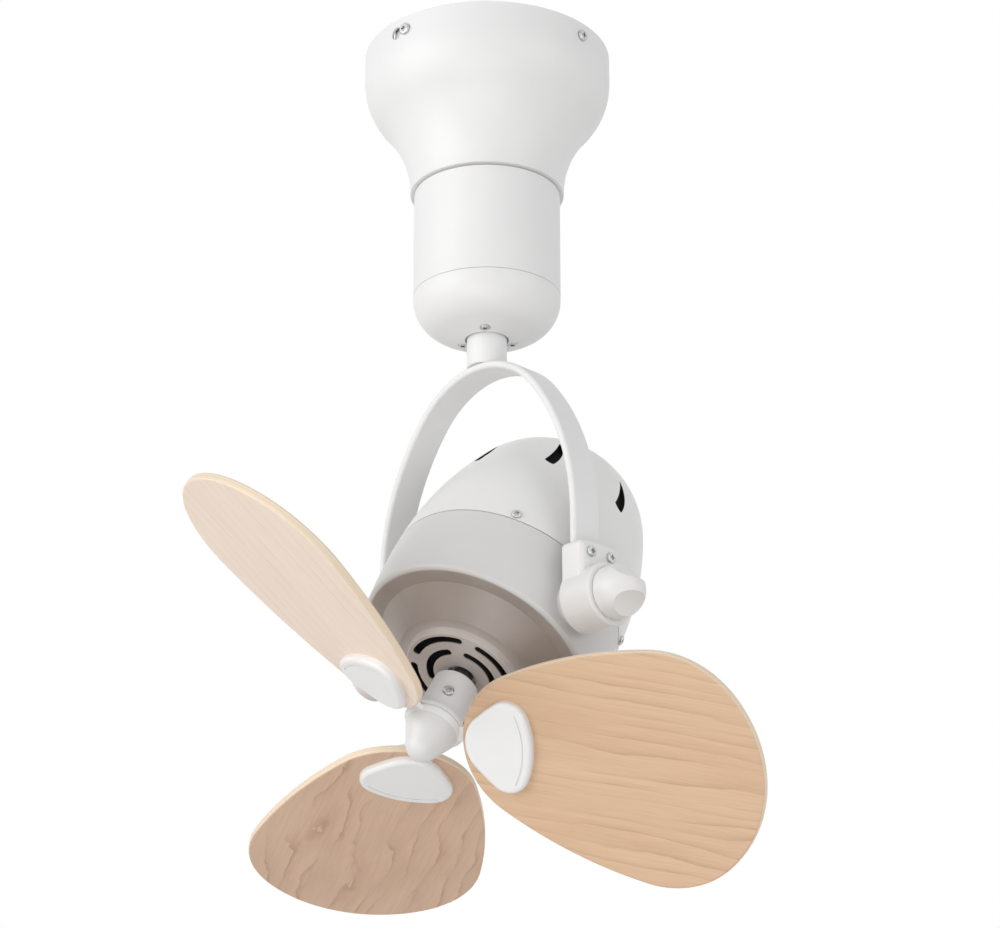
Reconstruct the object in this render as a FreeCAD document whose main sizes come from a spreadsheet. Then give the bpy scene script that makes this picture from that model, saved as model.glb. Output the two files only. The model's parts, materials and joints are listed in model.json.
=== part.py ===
import FreeCAD, Part
import math
import os
from collections import namedtuple

import Sketcher
from FreeCAD import Placement, Rotation, Vector
from fcgear import fcgear, involute

# Ceiling pendant fan: canopy, orbit gearbox, yoke, tilting motor pod and three paddle blades.
# Millimetres and degrees, +Z up, origin in the ceiling plane on the vertical axis of the canopy.

DIMENSIONS = {
    # Clearances
    "run_gap": 0.05,
    "seat_gap": 0.03,
    "face_gap": 0.3,
    "hole_gap": 0.25,
    # Screws in three sizes
    "big_shank": 2.0,
    "big_head": 3.6,
    "big_rise": 2.0,
    "mid_shank": 1.5,
    "mid_head": 3.2,
    "mid_rise": 1.8,
    "small_shank": 1.25,
    "small_head": 2.9,
    "small_rise": 1.5,
    "recess_width": 1.1,
    "recess_depth": 1.1,
    # Mounting bracket
    "plate_thick": 2.0,
    "arm_width": 26.0,
    "tab_width": 22.0,
    "tab_drop": 22.0,
    "bracket_bore": 14.0,
    "slot_spacing": 88.9,
    "slot_length": 14.0,
    "slot_width": 5.2,
    # Terminal block
    "block_length": 24.0,
    "block_depth": 16.0,
    "block_height": 10.0,
    "block_offset": 45.0,
    "wire_bore": 2.0,
    "wire_pitch": 7.0,
    # Canopy
    "canopy_turn": 4.5,
    "canopy_radius": 75.6,
    "canopy_wall": 1.6,
    "canopy_floor": 2.0,
    "ceiling_gap": 0.5,
    "canopy_side": 17.0,
    "shoulder_radius": 42.0,
    "neck_drop": 93.1,
    "neck_radius": 46.8,
    "canopy_screw_drop": 9.6,
    "canopy_screw_grip": 8.0,
    "keyhole_shift": 7.5,
    "keyhole_radius": 4.0,
    "wire_hole": 6.0,
    "wire_hole_shift": 22.0,
    # Gearbox
    "gasket_thick": 1.2,
    "gasket_inset": 1.0,
    "gasket_bore": 30.0,
    "gearbox_radius": 44.4,
    "gearbox_wall": 2.4,
    "gearbox_top": 4.0,
    "gearbox_length": 67.2,
    "housing_screw_circle": 37.0,
    "housing_screw_grip": 3.0,
    "lug_reach": 11.5,
    "lug_width": 14.0,
    "lug_drop": 32.7,
    "lug_thick": 6.0,
    "lug_screw_circle": 34.0,
    # Orbit motor
    "orbit_radius": 18.0,
    "orbit_height": 16.0,
    "orbit_shift": 21.5,
    "orbit_ear": 23.0,
    "ear_radius": 4.5,
    "ear_thick": 2.0,
    "orbit_boss": 6.0,
    "orbit_boss_rise": 3.0,
    # Gears
    "tooth_module": 0.9,
    "pinion_teeth": 18,
    "gear_teeth": 54,
    "mesh_slack": 0.15,
    "pinion_width": 9.0,
    "gear_width": 8.0,
    "gear_hub": 13.0,
    "gear_hub_height": 3.2,
    "pinion_bore": 3.5,
    "pinion_engage": 9.0,
    # Bearing plate and stem bearings
    "bearing_plate": 4.0,
    "plate_boss": 19.5,
    "plate_lip": 2.0,
    "journal_radius": 10.0,
    "stem_bearing_radius": 15.0,
    "stem_bearing_width": 7.0,
    "bearing_lip": 2.0,
    "shield_width": 2.4,
    "shield_depth": 0.6,
    # Gearbox cap
    "seam_gap": 0.3,
    "cap_band": 1.5,
    "cap_rise": 27.2,
    "cap_corner": 23.5,
    "cap_wall": 3.0,
    "cap_hole": 13.2,
    "spigot_wall": 3.0,
    "cap_seat_drop": 45.0,
    "cap_lip": 3.0,
    "cap_lip_gap": 1.0,
    "cap_screw_circle": 17.2,
    "cap_screw_angle": -48.0,
    "cap_screw_sink": 1.0,
    "cap_screw_hold": 6.0,
    # Slip ring and brushes
    "slip_radius": 14.0,
    "slip_length": 22.0,
    "slip_drop": 10.0,
    "slip_groove": 1.0,
    "slip_track": 4.0,
    "slip_pitch": 7.0,
    "brush_offset": 21.0,
    "brush_depth": 9.0,
    "brush_width": 12.0,
    "brush_length": 31.0,
    "brush_finger": 2.4,
    # Stem
    "stem_radius": 12.0,
    "stem_bore": 7.0,
    "stem_top": 2.0,
    "ring_thick": 1.3,
    "ring_depth": 1.0,
    "ring_reach": 12.5,
    "ring_split": 6.0,
    "stem_show": 17.6,
    "stem_web": 5.0,
    "stem_screw_circle": 3.6,
    "stem_screw_hold": 3.0,
    "saddle_depth": 1.0,
    # Yoke
    "yoke_clear": 5.1,
    "yoke_half_span": "=pod_radius + yoke_clear + strip_thick",
    "arch_rise": 114.6,
    "leg_length": 38.14,
    "crown_radius": 62.0,
    "strip_thick": 4.5,
    "strip_width": 21.4,
    "strip_edge": 2.0,
    "leg_end": 14.0,
    # Pivot housings
    "pivot_radius": 18.5,
    "pivot_tab_half": 16.0,
    "pivot_tab_top": 31.0,
    "pivot_tab_crown": 2.0,
    "pivot_tab_depth": 14.5,
    "pivot_tab_reach": "=pod_radius + yoke_clear + pivot_tab_depth",
    "pivot_depth": 22.3,
    "pivot_reach": "=pod_radius + yoke_clear + pivot_depth",
    "pivot_edge": 1.6,
    "pivot_tab_edge": 3.5,
    "pivot_screw_rise": 25.0,
    "pivot_screw_half": 8.0,
    "bush_radius": 9.0,
    "bush_length": 15.3,
    "bush_reach": "=pod_radius + yoke_clear + bush_length",
    "trunnion_radius": 6.0,
    "clamp_radius": 4.0,
    # Knob and cap
    "knob_radius": 15.4,
    "knob_side": 4.5,
    "knob_rise": 21.5,
    "knob_crown": 13.0,
    "knob_bar": 3.4,
    "knob_scoop": 18.0,
    "knob_scoop_base": 7.0,
    "knob_bore_depth": 7.0,
    "pivot_cap_radius": 15.0,
    "pivot_cap_rise": 6.0,
    "pivot_cap_side": 2.5,
    "pivot_cap_stub": 6.0,
    # Motor pod, measured along its own axis from the tilt axis
    "rest_tilt": 32.8,
    "pod_radius": 71.6,
    "pod_seam": 26.3,
    "dome_top": 144.3,
    "dome_crown": 61.0,
    "pod_wall": 2.5,
    "seam_groove": 0.8,
    "lip_height": 8.0,
    "lip_wall": 2.5,
    "pod_screw_rise": 4.2,
    "pod_screw_grip": 5.0,
    "vent_low": 84.8,
    "vent_high": 111.0,
    "vent_half": 3.2,
    "vent_lean": 2.6,
    "vent_tip_shift": 2.8,
    "vent_base_bend": 8.0,
    "vent_back_bend": 60.0,
    "vent_flank_bend": 27.0,
    "vent_turn": -1.5,
    "vent_count": 8,
    "filter_low": 80.0,
    "filter_high": 116.0,
    "filter_thick": 0.8,
    "skirt_radius": 391.0,
    "rim_inset": 2.7,
    "rim_radius": "=pod_radius - rim_inset",
    "rim_drop": 19.6,
    "rim_edge": 2.5,
    "band_radius": 57.5,
    "band_drop": 19.0,
    "step_radius": 41.0,
    "step_drop": 32.0,
    "ring_radius": 35.5,
    "ring_drop": 33.0,
    "ring_inset": 1.8,
    "face_radius": 33.5,
    "face_drop": 36.9,
    "face_wall": 3.5,
    "shaft_hole": 9.0,
    "outer_slot_ring": 29.5,
    "outer_slot_sweep": 66.0,
    "outer_slot_turn": 4.0,
    "inner_slot_ring": 19.6,
    "inner_slot_sweep": 85.0,
    "inner_slot_turn": 3.0,
    "face_slot_width": 4.5,
    "shield_edge": 31.3,
    "shield_thick": 0.8,
    "trunnion_boss": 13.0,
    "trunnion_gap": 1.2,
    "trunnion_start": "=stator_radius + trunnion_gap",
    "trunnion_boss_gap": 0.5,
    "trunnion_boss_reach": "=pod_radius + yoke_clear - trunnion_boss_gap",
    "trunnion_end_gap": 0.5,
    "trunnion_end": "=bush_reach - trunnion_end_gap",
    # Pod motor
    "stator_radius": 57.0,
    "stator_depth": 23.0,
    "stator_bore": "=stator_radius - stator_depth",
    "stator_low": 10.0,
    "stator_high": 18.0,
    "ledge_width": 9.0,
    "ledge_bore": "=stator_radius - ledge_width",
    "tooth_gap": 3.0,
    "tooth_count": 12,
    "core_back": 11.0,
    "tooth_root": "=stator_radius - core_back",
    "coil_inset": 3.0,
    "coil_bore": "=stator_bore + coil_inset",
    "coil_gap": 1.0,
    "coil_radius": "=tooth_root - coil_gap",
    "coil_height": 7.0,
    "coil_edge": 2.0,
    "bracket_foot": 8.0,
    "bracket_height": 12.0,
    "bracket_disc": 3.0,
    "motor_bearing_radius": 14.0,
    "motor_bearing_width": 8.0,
    "bearing_boss": 17.0,
    "bolt_inset": 4.0,
    "bolt_circle": "=stator_radius - bolt_inset",
    "bolt_grip": 6.0,
    "board_radius": 42.0,
    "board_bore": 10.0,
    "board_thick": 1.6,
    "air_gap": 0.6,
    "rotor_low": 12.0,
    "rotor_high": 16.0,
    # Shaft, hub and blades
    "shaft_radius": 6.0,
    "shaft_end": 84.0,
    "collar_radius": 13.5,
    "collar_start": 44.0,
    "collar_edge": 1.5,
    "hub_start": 74.0,
    "hub_end": 80.2,
    "hub_radius": 18.0,
    "hub_rim": 2.0,
    "hub_groove": 0.8,
    "hub_groove_depth": 1.4,
    "hub_waist": 17.2,
    "hub_core": 8.5,
    "hub_core_end": 86.0,
    "collar_screw_drop": 60.4,
    "collar_screw_turn": -40.5,
    "nose_radius": 15.7,
    "nose_tip": 9.7,
    "nose_tip_drop": 11.8,
    "nose_bore_depth": 7.0,
    "blade_plane": 80.7,
    "blade_pitch": 22.2,
    "blade_turn": 28.8,
    "blade_thick": 5.0,
    "blade_edge": 1.3,
    "blade_tip": 200.6,
    "blade_root": 66.2,
    "blade_root_radius": 45.4,
    "blade_corner": 139.4,
    "blade_corner_half": 13.5,
    "blade_corner_radius": 56.0,
    "blade_flank_radius": 255.0,
    "arm_thick": 2.5,
    "arm_reach": 58.0,
    "arm_root_half": 4.6,
    "arm_tip_half": 15.0,
    "arm_neck": 20.0,
    "arm_flare": 30.0,
    "arm_round": 10.0,
    "blade_screw_near": 34.0,
    "arm_margin": 8.0,
    "blade_screw_half": 9.0,
    "blade_screw_grip": 8.8,
    "cover_root": 44.0,
    "cover_root_radius": 20.2,
    "cover_corner": 49.6,
    "cover_corner_half": 14.6,
    "cover_corner_radius": 12.7,
    "cover_flank_radius": 113.0,
    "cover_tip": 65.0,
    "cover_rise": 4.6,
    "cover_edge": 2.6,
    "cover_wall": 2.0,
    "cover_pocket": 1.6,
    "cover_groove_inset": 5.0,
    "cover_groove_half": 0.4,
    "cover_groove_depth": 0.5,
    "cover_groove_sweep": 50.0,
}

FULL_TURN = 360
TOLERANCE = 1e-4

doc = FreeCAD.newDocument("pendant_fan")
sheet = doc.addObject("Spreadsheet::Sheet", "Dims")
for row, alias in enumerate(DIMENSIONS, start=1):
    sheet.set(f"A{row}", alias)
    sheet.setAlias(f"B{row}", alias)
for row, value in enumerate(DIMENSIONS.values(), start=1):
    sheet.set(f"B{row}", str(value))
doc.recompute()

nodes = []


# Sizes that carry their sheet formula


class Size:
    """A number together with the sheet formula that gives it."""

    def __init__(self, number, formula):
        self.number = number
        self.formula = formula

    def __add__(self, other):
        return combined(self, "+", other)

    def __radd__(self, other):
        return combined(other, "+", self)

    def __sub__(self, other):
        return combined(self, "-", other)

    def __rsub__(self, other):
        return combined(other, "-", self)

    def __mul__(self, other):
        return combined(self, "*", other)

    def __rmul__(self, other):
        return combined(other, "*", self)

    def __truediv__(self, other):
        return combined(self, "/", other)

    def __rtruediv__(self, other):
        return combined(other, "/", self)

    def __neg__(self):
        return combined(0, "-", self)


class Lookup:
    """Gives each cell of the sheet as a Size, by its alias."""

    def __getattr__(self, alias):
        return Size(float(sheet.get(alias)), f"Dims.{alias}")


OPERATIONS = {
    "+": lambda a, b: a + b,
    "-": lambda a, b: a - b,
    "*": lambda a, b: a * b,
    "/": lambda a, b: a / b,
}


def sized(value):
    return value if isinstance(value, Size) else Size(float(value), str(value))


def combined(first, sign, second):
    first = sized(first)
    second = sized(second)
    number = OPERATIONS[sign](first.number, second.number)
    return Size(number, f"({first.formula} {sign} {second.formula})")


def square(size):
    return size * size


def root(size):
    return Size(math.sqrt(size.number), f"sqrt({size.formula})")


def sine(angle):
    angle = sized(angle)
    return Size(math.sin(math.radians(angle.number)), f"sin({angle.formula})")


def cosine(angle):
    angle = sized(angle)
    return Size(math.cos(math.radians(angle.number)), f"cos({angle.formula})")


d = Lookup()


# Sketches made of lines and arcs


Corner = namedtuple("Corner", "x y radius turn")


def line(x, y):
    """The end of a straight edge."""
    return Corner(sized(x), sized(y), None, 0)


def left(x, y, radius):
    """The end of an arc that turns left on its way there."""
    return Corner(sized(x), sized(y), sized(radius), 1)


def right(x, y, radius):
    """The end of an arc that turns right on its way there."""
    return Corner(sized(x), sized(y), sized(radius), -1)


def new_body(label):
    body = doc.addObject("PartDesign::Body", label)
    body.Label = label
    nodes.append(body)
    return body


def origin_feature(body, role):
    return next(feature for feature in body.Origin.OriginFeatures if feature.Role == role)


def new_sketch(body, role, offset=None):
    sketch = body.newObject("Sketcher::SketchObject", "profile")
    sketch.AttachmentSupport = (origin_feature(body, role), [""])
    sketch.MapMode = "FlatFace"
    if offset is not None:
        sketch.setExpression("AttachmentOffset.Base.z", sized(offset).formula)
    return sketch


def constrain(sketch, kind, geometry, size):
    index = sketch.addConstraint(Sketcher.Constraint(kind, *geometry, size.number))
    sketch.setExpression(f"Constraints[{index}]", size.formula)


def hold_point(sketch, edge, end, x, y):
    """Ties one point of the sketch to its place, or to an axis where its place is zero."""
    for kind, axis, size in (("DistanceX", -2, x), ("DistanceY", -1, y)):
        if size.formula == "0":
            sketch.addConstraint(Sketcher.Constraint("PointOnObject", edge, end, axis))
        else:
            constrain(sketch, kind, (-1, 1, edge, end), size)


def arc_between(start, corner):
    """The arc of under half a turn from one corner to the next."""
    first = Vector(start.x.number, start.y.number, 0)
    last = Vector(corner.x.number, corner.y.number, 0)
    chord = last - first
    half = chord.Length / 2
    normal = Vector(-chord.y, chord.x, 0).normalize()
    reach = math.sqrt(max(corner.radius.number**2 - half**2, 0))
    centre = (first + last) * 0.5 + normal * reach * corner.turn
    ends = (first, last) if corner.turn > 0 else (last, first)
    angles = [math.atan2(point.y - centre.y, point.x - centre.x) for point in ends]
    circle = Part.Circle(centre, Vector(0, 0, 1), corner.radius.number)
    return Part.ArcOfCircle(circle, *angles)


def add_loop(sketch, corners):
    """A closed outline through its corners, each tied to the sheet."""
    edges = []
    for start, corner in zip([corners[-1]] + corners[:-1], corners):
        if corner.turn:
            index = sketch.addGeometry(arc_between(start, corner), False)
            edges.append((index, 1, 2) if corner.turn > 0 else (index, 2, 1))
        else:
            first = Vector(start.x.number, start.y.number, 0)
            last = Vector(corner.x.number, corner.y.number, 0)
            edges.append((sketch.addGeometry(Part.LineSegment(first, last), False), 1, 2))
    following = edges[1:] + edges[:1]
    for corner, (edge, _, end), (after, start, _) in zip(corners, edges, following):
        sketch.addConstraint(Sketcher.Constraint("Coincident", edge, end, after, start))
        hold_point(sketch, edge, end, corner.x, corner.y)
        if corner.turn:
            constrain(sketch, "Radius", (edge,), corner.radius)


def add_circle(sketch, x, y, radius):
    x, y, radius = sized(x), sized(y), sized(radius)
    circle = Part.Circle(Vector(x.number, y.number, 0), Vector(0, 0, 1), radius.number)
    index = sketch.addGeometry(circle, False)
    constrain(sketch, "Radius", (index,), radius)
    if x.formula == "0" and y.formula == "0":
        sketch.addConstraint(Sketcher.Constraint("Coincident", index, 3, -1, 1))
    else:
        hold_point(sketch, index, 3, x, y)


def rectangle(x_low, x_high, y_low, y_high):
    return [line(x_low, y_low), line(x_high, y_low), line(x_high, y_high), line(x_low, y_high)]


def straight_slot(x, y, half_length, radius):
    """A slot along the sketch's first axis, its round ends each made of two quarter arcs."""
    near, far = x - half_length, x + half_length
    return [
        line(far, y - radius),
        left(far + radius, y, radius),
        left(far, y + radius, radius),
        line(near, y + radius),
        left(near - radius, y, radius),
        left(near, y - radius, radius),
    ]


def curved_slot(ring, half_width, middle, sweep, centre=0):
    """A slot along a circle about a point on the sketch's first axis, with round ends."""
    first, last = middle - sweep / 2, middle + sweep / 2

    def polar(radius, angle):
        return centre + radius * cosine(angle), radius * sine(angle)

    def end_point(angle, side):
        x, y = polar(ring, angle)
        return x - side * half_width * sine(angle), y + side * half_width * cosine(angle)

    return [
        left(*polar(ring + half_width, last), ring + half_width),
        left(*end_point(last, 1), half_width),
        left(*polar(ring - half_width, last), half_width),
        right(*polar(ring - half_width, first), ring - half_width),
        left(*end_point(first, -1), half_width),
        left(*polar(ring + half_width, first), half_width),
    ]


# Features of a body


def revolve(body, loops, axis="V_Axis"):
    """Turns outlines in the XZ plane about the vertical or the horizontal axis."""
    sketch = new_sketch(body, "XZ_Plane")
    for corners in loops:
        add_loop(sketch, corners)
    feature = body.newObject("PartDesign::Revolution", "turned")
    feature.Profile = sketch
    feature.ReferenceAxis = (sketch, [axis])
    feature.Angle = FULL_TURN
    return feature


def pad(body, sketch, length, backwards=False):
    feature = body.newObject("PartDesign::Pad", "pad")
    feature.Profile = sketch
    feature.setExpression("Length", sized(length).formula)
    feature.Reversed = backwards
    return feature


def pad_both_ways(body, sketch, length):
    feature = pad(body, sketch, length)
    feature.SideType = "Symmetric"
    return feature


def cut(body, sketch, length, backwards=False):
    """Cuts to a depth, against the sketch's own direction unless it runs backwards."""
    feature = body.newObject("PartDesign::Pocket", "cut")
    feature.Profile = sketch
    feature.setExpression("Length", sized(length).formula)
    feature.Reversed = backwards
    return feature


def cut_through(body, sketch):
    """Cuts everything on both sides of the sketch."""
    feature = body.newObject("PartDesign::Pocket", "cut")
    feature.Profile = sketch
    feature.SideType = "Symmetric"
    feature.Type = "ThroughAll"
    return feature


def holes(body, role, places, radius, offset=None, depth=None, backwards=False):
    """Round holes at places in one plane, to a depth or right through."""
    sketch = new_sketch(body, role, offset)
    for x, y in places:
        add_circle(sketch, x, y, radius)
    if depth is None:
        return cut_through(body, sketch)
    return cut(body, sketch, depth, backwards)


def round_edges(body, feature, radius, wanted):
    """Rounds the edges of a feature that the test picks."""
    doc.recompute()
    edges = feature.Shape.Edges
    names = [f"Edge{number}" for number, edge in enumerate(edges, start=1) if wanted(edge)]
    fillet = body.newObject("PartDesign::Fillet", "rounding")
    fillet.Base = (feature, names)
    fillet.setExpression("Radius", sized(radius).formula)
    return fillet


def repeat_around(body, feature, count):
    """Repeats a feature evenly about the body's own Z axis."""
    pattern = body.newObject("PartDesign::PolarPattern", "pattern")
    pattern.Originals = [feature]
    pattern.Axis = (origin_feature(body, "Z_Axis"), [""])
    pattern.Angle = FULL_TURN
    pattern.setExpression("Occurrences", count.formula)
    body.Tip = pattern
    return pattern


def around(circle, angles):
    """Places on a circle about the origin."""
    return [(circle * cosine(angle), circle * sine(angle)) for angle in angles]


def oval(span, rise, crown):
    """A quarter oval: the radius of its side arc, and the lean of the line where its crown arc begins."""
    height = rise - crown
    side = (square(span) + square(height) - square(crown)) / (2 * (span - crown))
    reach = side - crown
    return side, (side - span) / reach, height / reach


def near(first, second):
    return abs(first - second) < TOLERANCE


def place(part, *steps):
    """Binds a part's placement to a chain of placement formulas."""
    part.setExpression("Placement", " * ".join(steps))


def moved(x, y, z, axis=(0, 0, 1), angle=0):
    """The formula of one placement: a turn about an axis, then a move."""
    base = "; ".join(sized(size).formula for size in (x, y, z))
    spin = "; ".join(str(part) for part in axis)
    return f"placement(vector({base}); rotation(vector({spin}); {sized(angle).formula}))"


def new_feature(label, shape):
    feature = doc.addObject("Part::Feature", label)
    feature.Label = label
    feature.Shape = shape
    nodes.append(feature)
    return feature


# Screws: pan heads with a cross recess, the head along +Z of each placement


def screw(size, grip):
    head, rise, shank = (sheet.get(f"{size}_{part}") for part in ("head", "rise", "shank"))
    width, depth = sheet.get("recess_width"), sheet.get("recess_depth")
    pan = Part.makeCylinder(head, rise)
    crown = [edge for edge in pan.Edges if edge.BoundBox.ZMin > rise / 2]
    pan = pan.makeFillet(rise / 2, crown)
    low = Vector(-head / 2, -width / 2, rise - depth)
    bar = Part.makeBox(head, width, rise, low)
    crossbar = bar.copy()
    crossbar.rotate(Vector(0, 0, 0), Vector(0, 0, 1), 90)
    pan = pan.cut(bar).cut(crossbar)
    return pan.fuse(Part.makeCylinder(shank, grip, Vector(0, 0, -grip))).removeSplitter()


def screw_group(label, size, grip, places):
    """Like screws as one node, each a solid of its own at its own point and direction."""
    solids = []
    for point, direction in places:
        solid = screw(size, sized(grip).number)
        solid.Placement = Placement(point, Rotation(Vector(0, 0, 1), direction))
        solids.append(solid)
    return new_feature(label, Part.makeCompound(solids))


def point(x, y, z):
    return Vector(*(sized(size).number for size in (x, y, z)))


UP = Vector(0, 0, 1)
DOWN = Vector(0, 0, -1)

# Levels of the ceiling unit, measured down from the ceiling

gearbox_start = d.neck_drop + d.gasket_thick
gearbox_inside = gearbox_start + d.gearbox_top
gearbox_end = gearbox_start + d.gearbox_length
bore_radius = d.gearbox_radius - d.gearbox_wall
lug_end = gearbox_inside + d.lug_drop
plate_end = lug_end + d.bearing_plate
upper_bearing_end = lug_end + d.stem_bearing_width
plate_boss_end = upper_bearing_end + d.plate_lip
lower_bearing_start = lug_end + d.cap_seat_drop
lower_bearing_end = lower_bearing_start + d.stem_bearing_width
cap_lip_end = lower_bearing_end + d.cap_lip
gear_hub_end = lug_end - d.face_gap
gear_end = gear_hub_end - d.gear_hub_height
gear_start = gear_end - d.gear_width
centre_distance = d.tooth_module * (d.pinion_teeth + d.gear_teeth) / 2 + d.mesh_slack
orbit_end = gearbox_inside + d.orbit_height
orbit_boss_end = orbit_end + d.orbit_boss_rise
stem_bearing_seat = d.stem_bearing_radius + d.seat_gap
HOUSING_SCREW_ANGLES = (90, 210, 330)
LUG_ANGLES = (30, 150, 270)
THIRDS = (0, 120, 240)
WIRE_ANGLE = -90
cap_screw_angles = [d.cap_screw_angle + turn for turn in THIRDS]
CEILING = moved(0, 0, 0, angle=d.canopy_turn)


def mounting_bracket():
    body = new_body("mounting_bracket")
    place(body, CEILING)
    half = d.arm_width / 2
    reach = root(square(d.canopy_radius - d.canopy_wall - d.face_gap) - square(half))
    sketch = new_sketch(body, "XY_Plane")
    cross = [
        line(reach, -half), line(reach, half), line(half, half), line(half, reach),
        line(-half, reach), line(-half, half), line(-reach, half), line(-reach, -half),
        line(-half, -half), line(-half, -reach), line(half, -reach), line(half, -half),
    ]
    add_loop(sketch, cross)
    add_circle(sketch, 0, 0, d.bracket_bore)
    pad(body, sketch, d.plate_thick, backwards=True)
    slots = new_sketch(body, "XY_Plane")
    slots.setExpression("AttachmentOffset", moved(0, 0, 0, angle=-d.canopy_turn))
    slot_radius = d.slot_width / 2
    for side in (-1, 1):
        middle = side * d.slot_spacing / 2
        add_loop(slots, straight_slot(middle, sized(0), d.slot_length / 2 - slot_radius, slot_radius))
    cut(body, slots, d.plate_thick)
    tabs = new_sketch(body, "XY_Plane")
    inner, side = reach - d.plate_thick, d.tab_width / 2
    add_loop(tabs, rectangle(inner, reach, -side, side))
    add_loop(tabs, rectangle(-reach, -inner, -side, side))
    add_loop(tabs, rectangle(-side, side, inner, reach))
    add_loop(tabs, rectangle(-side, side, -reach, -inner))
    pad(body, tabs, d.tab_drop, backwards=True)
    for role in ("XZ_Plane", "YZ_Plane"):
        holes(body, role, [(0, -d.canopy_screw_drop)], d.big_shank + d.seat_gap)


def terminal_block():
    body = new_body("terminal_block")
    place(body, CEILING)
    half_length, half_depth = d.block_length / 2, d.block_depth / 2
    front, back = -d.block_offset - half_depth, half_depth - d.block_offset
    sketch = new_sketch(body, "XY_Plane", -d.plate_thick)
    add_loop(sketch, rectangle(-half_length, half_length, front, back))
    pad(body, sketch, d.block_height, backwards=True)
    middle = -(d.plate_thick + d.block_height / 2)
    columns = [-d.wire_pitch, sized(0), d.wire_pitch]
    holes(body, "XZ_Plane", [(x, middle) for x in columns], d.wire_bore)
    rows = [side * half_depth / 2 - d.block_offset for side in (-1, 1)]
    places = [(x, y) for x in columns for y in rows]
    low = -(d.plate_thick + d.block_height)
    holes(body, "XY_Plane", places, d.wire_bore, low, d.block_height / 2, backwards=True)


def canopy():
    body = new_body("canopy")
    place(body, CEILING)
    outer, neck, wall = d.canopy_radius, d.neck_radius, d.canopy_wall
    step, drop = outer - neck, d.neck_drop - d.canopy_side
    waist = (square(step) + square(drop)) / (2 * step) - d.shoulder_radius
    shoulder_x, waist_x = outer - d.shoulder_radius, neck + waist
    span = d.shoulder_radius + waist
    lean_x, lean_z = (waist_x - shoulder_x) / span, -drop / span
    floor = d.canopy_floor - d.neck_drop
    inner_waist = waist + wall
    inner_shoulder = d.shoulder_radius - wall
    floor_x = waist_x - root(square(inner_waist) - square(d.canopy_floor))

    def tangent(radius):
        return shoulder_x + radius * lean_x, radius * lean_z - d.canopy_side

    revolve(body, [[
        line(outer, -d.ceiling_gap),
        line(outer, -d.canopy_side),
        right(*tangent(d.shoulder_radius), d.shoulder_radius),
        left(neck, -d.neck_drop, waist),
        line(0, -d.neck_drop),
        line(0, floor),
        line(floor_x, floor),
        right(*tangent(inner_shoulder), inner_waist),
        left(outer - wall, -d.canopy_side, inner_shoulder),
        line(outer - wall, -d.ceiling_gap),
    ]])
    hole = d.big_shank + d.hole_gap
    holes(body, "YZ_Plane", [(0, -d.canopy_screw_drop)], hole)
    for backwards, side in ((False, 1), (True, -1)):
        shift = side * d.keyhole_shift
        slot = new_sketch(body, "XZ_Plane")
        add_loop(slot, straight_slot(shift / 2, -d.canopy_screw_drop, d.keyhole_shift / 2, hole))
        cut(body, slot, outer, backwards)
        places = [(shift, -d.canopy_screw_drop)]
        holes(body, "XZ_Plane", places, d.keyhole_radius, None, outer, backwards)
    through = 2 * d.canopy_floor
    places = around(d.wire_hole_shift, [WIRE_ANGLE - d.canopy_turn])
    holes(body, "XY_Plane", places, d.wire_hole, floor, through)
    places = around(d.housing_screw_circle, [angle - d.canopy_turn for angle in HOUSING_SCREW_ANGLES])
    holes(body, "XY_Plane", places, d.mid_shank + d.hole_gap, floor, through)


def canopy_screws():
    reach = (d.canopy_radius + d.seat_gap).number
    drop = Vector(0, 0, -d.canopy_screw_drop.number)
    outward = [Vector(1, 0, 0), Vector(-1, 0, 0), Vector(0, 1, 0), Vector(0, -1, 0)]
    places = [(way * reach + drop, way) for way in outward]
    place(screw_group("canopy_screws", "big", d.canopy_screw_grip, places), CEILING)


def neck_gasket():
    body = new_body("neck_gasket")
    sketch = new_sketch(body, "XY_Plane", -d.neck_drop)
    add_circle(sketch, 0, 0, d.gearbox_radius - d.gasket_inset)
    add_circle(sketch, 0, 0, d.gasket_bore)
    for x, y in around(d.housing_screw_circle, HOUSING_SCREW_ANGLES):
        add_circle(sketch, x, y, d.mid_shank + d.hole_gap)
    pad(body, sketch, d.gasket_thick, backwards=True)


def gearbox_housing():
    body = new_body("gearbox_housing")
    outer = d.gearbox_radius
    revolve(body, [[
        line(outer, -gearbox_start),
        line(0, -gearbox_start),
        line(0, -gearbox_inside),
        line(bore_radius, -gearbox_inside),
        line(bore_radius, -gearbox_end),
        line(outer, -gearbox_end),
    ]])
    lug = new_sketch(body, "XY_Plane", -lug_end)
    half = d.lug_width / 2
    add_loop(lug, rectangle(-half, half, -(outer - d.gearbox_wall / 2), d.lug_reach - bore_radius))
    repeat_around(body, pad(body, lug, d.lug_thick), sized(len(LUG_ANGLES)))
    thread = d.mid_shank + d.seat_gap
    places = around(d.lug_screw_circle, LUG_ANGLES)
    holes(body, "XY_Plane", places, thread, -lug_end, d.lug_thick, backwards=True)
    places = around(d.housing_screw_circle, HOUSING_SCREW_ANGLES)
    deep = d.housing_screw_grip + d.face_gap
    holes(body, "XY_Plane", places, thread, -gearbox_start, deep)
    places = [(side * d.orbit_ear, d.orbit_shift) for side in (-1, 1)]
    holes(body, "XY_Plane", places, thread, -gearbox_inside, deep, backwards=True)
    places = around(d.wire_hole_shift, [WIRE_ANGLE])
    holes(body, "XY_Plane", places, d.wire_hole, -gearbox_start, d.gearbox_top)


def housing_screws():
    top = d.canopy_floor - d.neck_drop
    places = around(d.housing_screw_circle, HOUSING_SCREW_ANGLES)
    grip = d.canopy_floor + d.gasket_thick + d.housing_screw_grip
    screw_group("housing_screws", "mid", grip, [(point(x, y, top), UP) for x, y in places])


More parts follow.
